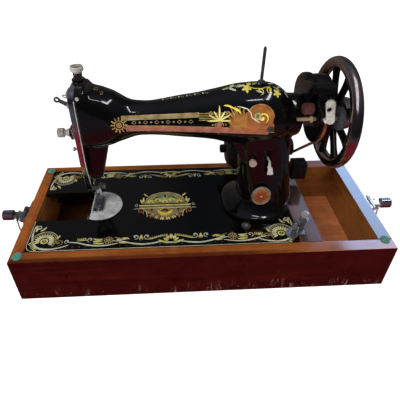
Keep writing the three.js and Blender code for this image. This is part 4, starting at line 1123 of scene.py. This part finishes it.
def arm_garland(art):
    """Leaves, flowers and a chain on the top of the arm, and two scrolls over the head."""
    green = ((22.7, -32.2, -12, 10.8, 2.1), (45.4, -38.3, 150, 7.3, 2.0), (59.6, -37.6, -20, 7.3, 2.2),
             (85, -34.4, 35, 10.2, 2.1))
    white = ((31.2, -33.6, 20, 8.3, 2.7), (31.2, -33.6, -35, 8.3, 2.4), (39.8, -35.4, -8, 9.5, 2.7),
             (62.7, -30.3, 20, 8.5, 1.85), (79.8, -38.3, -5, 10.4, 2.2), (90, -32.4, -30, 8, 2),
             (73.3, -39.3, 170, 6.5, 1.7), (99.9, -28.2, 60, 8.5, 2))
    for look, leaves in (("leaf_green", green), ("white_gold", white)):
        for leaf in leaves:
            art.leaf(look, *leaf)
    for u, v, radius in ((51.8, -33.3, 3.15), (88.4, -26.5, 2.8)):
        for angle in range(15, 375, 72):
            art.leaf("yellow", u, v, angle, radius * 1.9, radius)
        art.dot("white_gold", u, v, radius * 0.4)
    for u, v, angle, hand in ((68, -29.2, 90, 1), (79.6, -30.7, 80, -1), (56.6, -39.6, 0, 1)):
        art.scroll("yellow", u, v, 4.4, angle, 1.33, hand, 1.4)
    stem = ((36.3, -35.8), (45, -37.3), (53, -35.8), (60.8, -32.8), (70.4, -32.4), (81.3, -35.2))
    art.strip("yellow", stem, 1.1)
    for k in range(24):
        u, v = -50.7 + 2.505 * k, -22 - 0.33 * k
        if k % 4:
            art.leaf("tan", u - 1, v + 0.37, 160 if k % 2 else 200, 2.1, 0.87)
        else:
            art.lozenge("white_gold", u, v, 1.12, 1)
    for u, v, angle, hand in ((-132.8, -36.3, 60, 1), (-124.7, -30.6, 200, -1)):
        art.scroll("tan", u, v, 2.95, angle, 0.72, hand, 1.3)


def arm_ornament():
    art = Ornament()
    arm_bands(art)
    arm_star(art, -104.8, 7.9)
    arm_lozenge(art, 17.8, 10.1)
    arm_shell(art, 66.9, 2.9)
    arm_garland(art)
    art.build("arm_gilding", "head", on_arm)


arm_ornament()

# ---------------------------------------------------------------- handwheel

WHEEL = {"x": 172.8, "ring": 65.2, "tube": 7.6}
SPOKES = 9


def spoke_radius(t):
    """The radius of a spoke from hub to rim: thick at the hub, thin in the middle, flared at the rim."""
    return 5.2 + 1.5 * (1 - t) ** 3 + 2.0 * t ** 5


def handwheel():
    steps, sides = 144, 32
    rings = [Vector((WHEEL["x"], SHAFT[0] + WHEEL["ring"] * math.cos(2 * math.pi * i / steps),
                     SHAFT[1] + WHEEL["ring"] * math.sin(2 * math.pi * i / steps))) for i in range(steps)]
    rim = painted(sweep("rim", rings, WHEEL["tube"], sides, True), "wheel_chrome")
    smooth(rim)
    spokes = []
    centre = Vector((WHEEL["x"] - 1.6, *SHAFT))
    for k in range(SPOKES):
        angle = math.radians(112 + 40 * k)
        out = Vector((0, math.cos(angle), math.sin(angle)))
        path = [centre + out * (17 + 43.5 * i / 14) for i in range(15)]
        spoke = sweep("spoke", path, spoke_radius, 20, False)
        for vertex in spoke.data.vertices:
            vertex.co.x = (centre.x + (vertex.co.x / MM - centre.x) * 0.72) * MM
        spokes.append(spoke)
    body = gathered("spokes", *spokes)
    smooth(body)
    painted(body, "japan")
    hub = spun("hub", "x", [
        (7.35, 143.2), (29, 143.2), (33.4, 143.4), (37, 144), (37.5, 144.8), (37.3, 145.9), (36.4, 146.2),
        (32.4, 147.5), (32, 148.6), (32, 151.4), (32.4, 152.5), (36.4, 153.9), (37.3, 154.3), (37.5, 155.4),
        (37, 156.2), (33, 156.9), (27, 157.4), (25.2, 158.4), (25.2, 166.4), (24.4, 168.6), (21.4, 170),
        (20.3, 171.4), (20, 179.2), (7.35, 179.5)], SHAFT, 96, "japan")
    mounted(gathered("handwheel_spoked", rim, body, hub), "wheel", "chrome", "handwheel")


# ---------------------------------------------------------------- face plate and what it carries

FACE_LEFT, FACE_RIGHT, FACE_WALL = -163.3, -154.9, 2.4


def face_plate():
    domed = ((0, 3.4), (0.25, 2.2), (0.9, 1.1), (2, 0.35), (3.6, 0), (FACE_RIGHT - FACE_LEFT, 0))
    rows = [[(FACE_LEFT + depth, y, z) for y, z in face_outline(inset, steps=14)] for depth, inset in domed]
    shell = loft("face_plate", rows)
    hollow = face_outline(FACE_WALL, steps=14)
    cut(shell, prism("hollow", "x", hollow, FACE_LEFT + FACE_WALL, FACE_RIGHT + 2))
    cut(shell, block("slot", FACE_LEFT - 2, FACE_LEFT + 5, -14, -8, 214, 259))
    cut(shell, block("mouth", FACE_LEFT + 3, FACE_RIGHT + 2, -8, 18, 110, 122))
    cut(shell, bore("z", 256, 275, PRESSER_BAR, 6.4))
    softened(shell, 0, 1, 30)
    painted(shell, "chrome")
    profile = ((0, -10), (2.6, -10), (3, -9.6), (3, -8), (1.6, -7.4), (1.6, 1), (0, 1))
    pin = spun("pin", "x", [(radius, FACE_LEFT + x) for radius, x in profile], (0, 178.4), 32, "nickel")
    screws = [screw("screw", "x", at, FACE_LEFT + 0.1, -1, 4.2, 2.2) for at in ((20, 250), (12, 132))]
    line = [Vector((FACE_LEFT + 0.35, y, z)) for y, z in face_outline(2.6, steps=14)]
    rim = painted(sweep("rim", line, 0.35, 8, True), "nickel")
    # A thin bright wire along the plate's front right edge: a painted highlight of that edge.
    line = ((-12.6, 120), (-15.2, 131), (-19, 149), (-22.1, 164), (-22.3, 180), (-22.3, 215), (-22.2, 252),
            (-20.4, 259))
    edge = wire("edge", [(FACE_RIGHT - 0.5, y, z) for y, z in line], 6, 0.6, 8, "worn_nickel")
    mounted(gathered("face_plate_domed", shell, pin, rim, edge, *screws), "head", "chrome", "face_plate")


def head_details():
    """The thread guides, screws and small plates that are fixed to the head."""
    cap = prism("cap", "x", rounded(-12, 9, 256, 264, 3.5, 6), -166.2, -162.6)
    parts = [
        painted(softened(cap, 0.8, 3), "nickel"),
        screw("screw", "x", (-18.4, 250), -163.4, -1, 2.4, 1.4, "worn_nickel"),
        screw("screw", "y", (-150.6, 261.5), -22.2, -1, 2.4, 1.8, "worn_nickel"),
        wire("eye", [(-161.5, -18.5, 262), (-165.4, -21, 263.4), (-167.4, -18.2, 264.6),
                     (-165.4, -15.6, 263.4), (-161.5, -17, 262)], 8, 0.7, 10, "nickel"),
        screw("screw", "y", (-144.6, 181), -8.9, -1, 1.9, 1.4, "worn_nickel"),
        spun("collar", "z", [(4.7, 270.4), (8.2, 270.4), (8.4, 271.4), (7.6, 272.6), (4.7, 272.8)],
             PRESSER_BAR, 40, "japan"),
    ]
    mounted(gathered("head_fittings", *parts), "head", "nickel")


def pressure_screw():
    at = PRESSER_BAR
    body = lathe("screw", "z", [
        (0, 257.6), (3.4, 257.6), (4.3, 258.8), (4.3, 271.2), (5.5, 271.8), (5.6, 272.4), (5.2, 279.4),
        (5.8, 280.8), (6.6, 281.6), (7.7, 282.4), (8.1, 283.6), (8.1, 286), (7.7, 287.8), (7.1, 288.5),
        (6.5, 288.4), (6.1, 287.4), (5.9, 285.2), (0, 285)], at, 64)
    softened(body, 0, 1, 40)
    ridges = []
    for i in range(30):
        angle = 2 * math.pi * i / 30
        corners = [(at[0] + reach * math.cos(turn), at[1] + reach * math.sin(turn))
                   for reach, turn in ((8.2, angle - 0.04), (8.2, angle + 0.04), (7.0, angle))]
        ridges.append(prism("ridge", "z", corners, 283.4, 286.2))
    knurled = painted(gathered("knurled", body, *ridges), "worn_nickel")
    # A thin black disc on the floor of the cap's shallow recess: painted shade that makes the hole on top look
    # deep.
    hollow = lathe("hollow", "z", [(0, 285.1), (5.8, 285.1), (5.8, 285.4), (0, 285.4)], at, 32)
    painted(hollow, "japan")
    neck = spun("neck", "z", [(0, 272.5), (5.9, 272.5), (5.9, 273.2), (5.55, 273.8), (5.5, 279), (5.9, 280.4),
                              (0, 280.4)], at, 48, "chrome")
    whole = gathered("pressure_screw_capped", knurled, hollow, neck)
    mounted(whole, "pressure_screw", "chrome", "pressure_screw")


def tension_spring():
    """The coil between the discs and the nut, and the check spring beside them."""
    y, z = 2, 203
    left = FACE_LEFT
    coil = []
    for i in range(97):
        t = i / 96
        angle = 2 * math.pi * 5 * t
        reach = 3.6 + 2.2 * (1 - t)
        coil.append(Vector((left - 10.4 - 4.6 * t, y + reach * math.cos(angle), z + reach * math.sin(angle))))
    spring = painted(sweep("spring", coil, 0.5, 8), "worn_nickel")
    line = ((-3, -4.5, 199), (-3.2, -9, 201), (-3.4, -12.4, 206), (-3.6, -13.2, 212), (-4.4, -11.8, 215),
            (-4.8, -9.8, 213.6))
    check = wire("check", [(left + x, y, z) for x, y, z in line], 8, 0.55, 8, "nickel")
    outline = [(-12.5, 190), (-9, 189), (-5, 194), (-6, 200), (-9, 198)]
    stop = painted(softened(prism("stop", "x", outline, left - 2.2, left - 0.3), 0.3, 2), "nickel")
    mounted(gathered("tension_springs", spring, check, stop), "head", "nickel")


def medallion():
    at, tall = (81.5, 114.5), 1.16
    rim = spun("rim", "y", [(0, -33.2), (13.6, -33.2), (13.8, -34.4), (13.4, -35.6), (12.6, -36),
                            (11.8, -35.6), (11.4, -35), (0, -35)], at, 72, "old_nickel")
    for vertex in rim.data.vertices:
        vertex.co.z = (at[1] + (vertex.co.z / MM - at[1]) * tall) * MM
    art = Ornament()
    for radius in (9.9, 7.4, 4.9, 2.4):
        art.ring("copper_red", 0, 0, radius, 2.6)
    art.dot("copper_red", 0, 0, 1.3, 16)
    art.ring("dark_gold", 0, 0, 10.6, 0.5)
    for angle in range(0, 360, 15):
        art.dot("dark_gold", *around(0, 0, 9.3, angle), 0.55, 8)
    for angle in range(0, 360, 45):
        art.leaf("dark_red", *around(0, 0, 1.2, angle, 4 / 3), angle, 7.2, 3.4)
        art.leaf("dark_gold", *around(0, 0, 1.6, angle + 22), angle + 22, 4.6, 1.0)
    art.dot("gold", 0, 0, 1.3, 16)
    art.build("badge_rosette", "head", lambda u, v, layer: (at[0] + u, -35.1 - 0.12 * layer, at[1] + v * tall))
    pins = [screw("pin", "y", (at[0] + off, at[1]), -35.4, -1, 0.9, 0.8, "brass") for off in (12.4, -12.4)]
    mounted(gathered("badge", rim, *pins), "head", "brass", "medallion")


def pillar_screws():
    parts = [
        screw("screw", "y", (88, 160), -28.6, -1, 2.4, 1.6, "worn_nickel"),
        screw("screw", "y", (80.5, 222), -34.4, -1, 4.2, 1.8, "dark_steel"),
        screw("screw", "y", (98, 150), -26, -1, 2.0, 1.2, "dark_steel"),
    ]
    mounted(gathered("pillar_screws", *parts), "head", "nickel")


def winder_housing():
    drum = lathe("drum", "x", [(0, 127), (23, 127), (27.4, 128.2), (29.6, 130.8), (30, 133.4), (30, 137),
                               (29.2, 139.8), (27, 141.6), (23, 142), (0, 142)], (15, 243), 72)
    hood = lathe("hood", "x", [(0, 136), (16, 136), (20.6, 137.2), (22.7, 139.8), (23, 142), (23, 154),
                               (22.4, 157.4), (20, 159.8), (16, 160.5), (0, 160.5)], (8, 251), 72)
    cut(hood, bore("x", 142.4, 170, SHAFT, 38.7))
    combine(hood, "INTERSECT", block("room", 130, 170, -17, 40, 256, 281))
    outline = [(-30, 262), (-31, 271), (-29, 274.4), (-22, 276), (30, 262), (30, 222), (0, 214)]
    cheek = prism("cheek", "x", outline, 125.4, 128.1)
    pin = lathe("pin", "x", [(0, 126), (3.2, 126), (3.2, 155.4), (2.6, 156), (0, 156)], (-24, 268), 28)
    body = fused(drum, hood, cheek, pin)
    cut(body, bore("x", 120, 145, SHAFT, 12.4))
    softened(body, 1.1, 4, 30)
    painted(body, "japan")
    # A round reddish-brown disc on the drum's left face.
    red_disc = lathe("red_disc", "x", [(0, 126.9), (9.5, 126.9), (9.5, 126.6), (0, 126.6)], (22, 256), 40)
    painted(red_disc, "red_japan")
    mounted(gathered("winder_housing", body, red_disc), "head", "japan", "winder_bracket")


def winder_latch():
    top, low = (142, 261), (146.4, 240.5)
    outline = arc(top, 5.8, -8, 172, 16) + [(139, 250.5)] + arc(low, 5.0, 188, 352, 16) + [(149.2, 251)]
    plate = prism("latch", "y", outline, -50.6, -48)
    cut(plate, bore("y", -54, -46, (141.8, 254.6), 3.1))
    cut(plate, block("line", 134, 156, -52, -50, 250.4, 251.2))
    painted(softened(plate, 0.6, 3), "worn_nickel")
    knob = spun("knob", "y", [(0, -48), (4.4, -48), (4.6, -51.6), (3.8, -52.6), (0, -53)],
                (142.4, 262.6), 28, "worn_nickel")
    pin = spun("pin", "y", [(0, -46.3), (2.6, -46.3), (2.6, -51.4), (2, -51.9), (0, -52)],
               (141, 240), 28, "worn_nickel")
    mounted(gathered("winder_latch_plate", plate, pin, knob), "winder_latch", "nickel", "winder_latch")


def pillar_controls():
    """The pointed stitch-length lever and the round stop screw beside it."""
    outline = [(-3, 171), (-36, 175.6), (-41.6, 171.4), (-44.2, 162.4), (-43.2, 161.6), (-40, 168.6),
               (-34, 172), (-3, 167)]
    blade = prism("blade", "x", outline, 84.7, 86.5)
    middle = 85.7
    half = [(-1.5, 175.6), (-1.3, 171.8), (2.8, 168.4), (3.8, 160.4), (3.2, 159.6)]
    right = [(middle + u, z) for u, z in half]
    left = [(middle - abs(u) - (1.6 if z > 170 else 0), z) for u, z in reversed(half)]
    paddle = loft("paddle", [[(x, back - 42.1 - 0.245 * (175 - z), z) for x, z in right + left]
                             for back in (0, 1.9)])
    hub = lathe("hub", "x", [(0, 82.8), (5, 82.8), (5, 88.6), (0, 88.6)], (-3, 170), 32)
    parts = [painted(softened(part, 0.3), "worn_nickel") for part in (blade, paddle, hub)]
    mounted(gathered("stitch_lever_spear", *parts), "stitch_lever", "nickel", "stitch_lever")
    stop = spun("stop", "y", [(0, -36), (1.2, -36), (1.3, -35.5), (3.4, -35.6), (4.7, -35.2), (5, -34.4),
                              (5, -31), (2.6, -30.8), (2.6, -26.4), (0, -26.4)], (64.5, 170), 40, "pale_brass")
    mounted(stop, "stitch_stop_screw", "brass", "stitch_stop_screw")


def winder_spindle():
    spindle = spun("spindle", "x", [
        (0, 110.2), (1.5, 110.2), (2.2, 110.9), (2.2, 125.8), (3.9, 126.4), (4.2, 127.2), (4.2, 128.4),
        (3.9, 129.2), (2.5, 129.6), (2.5, 166.2), (2.1, 166.4), (0, 166.4)], SPINDLE, 32, "gilt_brass")
    mounted(spindle, "winder_spindle", "nickel", "winder_spindle")


# ---------------------------------------------------------------- small pieces of the base


def base_details():
    """The nails in the end and front boards."""
    rng = random.Random(11)
    nails = []
    for x in (-251, 251):
        tip, edge = x + math.copysign(5.7, x), x + math.copysign(5.62, x)
        for y in (-88, -52, -16, 20, 56, 90):
            at = (y + rng.uniform(-2, 2), 12 + rng.uniform(-1, 1))
            nail = lathe("nail", "x", [(0, x), (1.3, x), (1.3, edge), (0, tip)], at, 12)
            nails.append(painted(nail, "dark_steel"))
    for x in range(-230, 240, 46):
        profile = [(0, -100), (1.2, -100), (1.2, -104.6), (0, -104.64)]
        nail = lathe("nail", "y", profile, (x + rng.uniform(-5, 5), 9), 12)
        nails.append(painted(nail, "dark_steel"))
    mounted(gathered("base_nails", *nails), "base", "steel")


def felt_pads():
    profile = [(0, 74.9), (6.4, 74.9), (6.6, 75.6), (6.3, 76.5), (5.6, 76.9), (0, 77)]
    for name, x, y in (("front_left", -246, -94), ("back_left", -246, 94), ("front_right", 246, -88),
                       ("back_right", 246, 94)):
        mounted(spun("felt_pad_" + name, "z", profile, (x, y), 40, "felt", 50), "base", "leather")


for make in (handwheel, pillar_controls, winder_spindle, winder_housing, face_plate, head_details,
             pressure_screw, tension_spring, medallion, pillar_screws, winder_latch, base_details, felt_pads):
    make()

# ---------------------------------------------------------------- floor and light


def area_light(name, place, target, size, power, colour=(1, 1, 1), turn=0):
    data = bpy.data.lights.new(name, "AREA")
    data.shape = "RECTANGLE"
    data.size, data.size_y = size
    data.energy = power
    data.color = colour
    lamp = bpy.data.objects.new(name, data)
    lamp.location = place
    lamp.rotation_mode = "QUATERNION"
    lamp.rotation_quaternion = ((Vector(target) - Vector(place)).to_track_quat("-Z", "Y")
                                @ Quaternion((0, 0, 1), math.radians(turn)))
    scene.collection.objects.link(lamp)
    return lamp


def floor_sheet():
    half = 6000
    corners = [(-half, -half, 0), (half, -half, 0), (half, half, 0), (-half, half, 0)]
    floor = mesh_object("floor", corners, [(0, 1, 2, 3)])
    floor.location.z = CAD_BOX[0].z - 0.0002
    look = Look("floor", Roughness=0.9, Specular_IOR_Level=0.0)
    look.set("Base Color", (0.9, 0.9, 0.9, 1))
    look.set("Emission Color", (1, 1, 1, 1))
    away = look.add("ShaderNodeVectorMath", {"operation": "LENGTH"}, i0=look.where).outputs["Value"]
    look.set("Emission Strength", look.levels(away, 0.45, 0.9, 0.7, 1.0))
    floor.data.materials.append(look.material)
    floor.visible_glossy = False


def lit_only(group, lamps, objects):
    """Lets the lamps light nothing but the objects."""
    receivers = bpy.data.collections.new(group)
    for obj in objects:
        receivers.objects.link(obj)
    for lamp in lamps:
        lamp.light_linking.receiver_collection = receivers


def lamps():
    for name, place, size, power in (("key", (-1.0, -1.1, 1.5), (1.3, 1.0), 30),
                                     ("fill", (1.1, -1.3, 1.2), (1.2, 0.9), 12)):
        area_light(name, place, (0, 0, 0.1), size, power).visible_glossy = False
    box_middle = (0.2, 0, 0.08)
    window = (
        area_light("window", (1.05, 1.15, 1.15), box_middle, (0.84, 0.42), 10.5, (0.42, 0.62, 1.0), -40),
        area_light("curtain", (0.71, 1.31, 1.246), box_middle, (0.62, 0.16), 0.55, (0.85, 0.75, 1.0), -40),
    )
    box = ("right_board", "divider_board", "back_board", "left_board", "front_board", "bottom_board",
           "latch_arm_right", "latch_bail_right", "latch_knob_right", "latch_plate_right",
           "winding_tension", "winding_tension_nut")
    lit_only("window_light", window, [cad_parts[name] for name in box])
    wheel_lamp = area_light("wheel_lamp", (-0.05, -0.5, 1.25), (0.17, -0.05, 0.27), (0.75, 1.5), 3.6,
                            (1.0, 0.92, 0.92))
    lit_only("wheel_light", [wheel_lamp], [bpy.data.objects["handwheel_spoked"]])
    arm_lamps = (
        area_light("lamp", (0.24, -0.68, 1.59), (0.06, 0, 0.25), (0.30, 0.07), 1.0, (0.8, 0.9, 1.0)),
        area_light("streak", (0.56, -0.14, 1.43), (-0.12, 0, 0.25), (0.90, 0.09), 3.2),
    )
    lit_only("lamp_light", arm_lamps, [ARM])


def sky():
    """The surroundings that the glossy pieces mirror: white to the camera, a dim room to everything else."""
    world = bpy.data.worlds.new("studio")
    scene.world = world
    world.use_nodes = True
    world.node_tree.nodes.clear()
    room = Graph(world.node_tree)
    parts = room.add("ShaderNodeSeparateXYZ", i0=room.add("ShaderNodeTexCoord").outputs["Generated"])
    height = room.levels(parts.outputs["Z"], -1.0, 1.0, 0.0, 1.0)

    def by_height(*stops):
        return room.ramp(height, *(((place + 1) / 2, colour) for place, colour in stops))

    front = by_height(
        (-1.0, (0.20, 0.016, 0.034)), (-0.53, (0.20, 0.016, 0.034)), (-0.49, (0.075, 0.075, 0.105)),
        (-0.41, (0.075, 0.075, 0.105)), (-0.36, (0.012, 0.011, 0.012)), (0.3, (0.02, 0.02, 0.022)),
        (0.75, (0.06, 0.07, 0.09)), (1.0, (0.16, 0.17, 0.20)))
    back = by_height(
        (-1.0, (0.06, 0.030, 0.026)), (-0.2, (0.10, 0.07, 0.06)), (0.1, (0.12, 0.11, 0.11)),
        (0.45, (0.09, 0.09, 0.09)), (0.72, (0.07, 0.07, 0.08)), (0.9, (0.10, 0.11, 0.14)),
        (1.0, (0.16, 0.17, 0.20)))
    side = room.levels(parts.outputs["Y"], -0.25, 0.25, 0.0, 1.0)
    behind = by_height(
        (-1.0, (0.06, 0.030, 0.026)), (-0.2, (0.08, 0.05, 0.045)), (0.15, (0.10, 0.09, 0.085)),
        (0.42, (0.06, 0.06, 0.06)), (0.52, (0.02, 0.022, 0.026)), (0.8, (0.05, 0.06, 0.08)),
        (1.0, (0.14, 0.15, 0.18)))
    right = room.levels(parts.outputs["X"], -0.07, 0.04, 0.0, 1.0)
    back = room.add("ShaderNodeMixRGB", i0=right, i1=back, i2=behind).outputs[0]
    mixed = room.add("ShaderNodeMixRGB", i0=side, i1=front, i2=back).outputs[0]
    lit = room.add("ShaderNodeBackground", i0=mixed, i1=1.0)
    seen = room.add("ShaderNodeBackground", i0=(1, 1, 1, 1), i1=1.0)
    rays = room.add("ShaderNodeLightPath").outputs["Is Camera Ray"]
    both = room.add("ShaderNodeMixShader", i0=rays, i1=lit.outputs[0], i2=seen.outputs[0])
    room.add("ShaderNodeOutputWorld", i0=both.outputs[0])


floor_sheet()
sky()
lamps()
scene.view_settings.view_transform = "Standard"
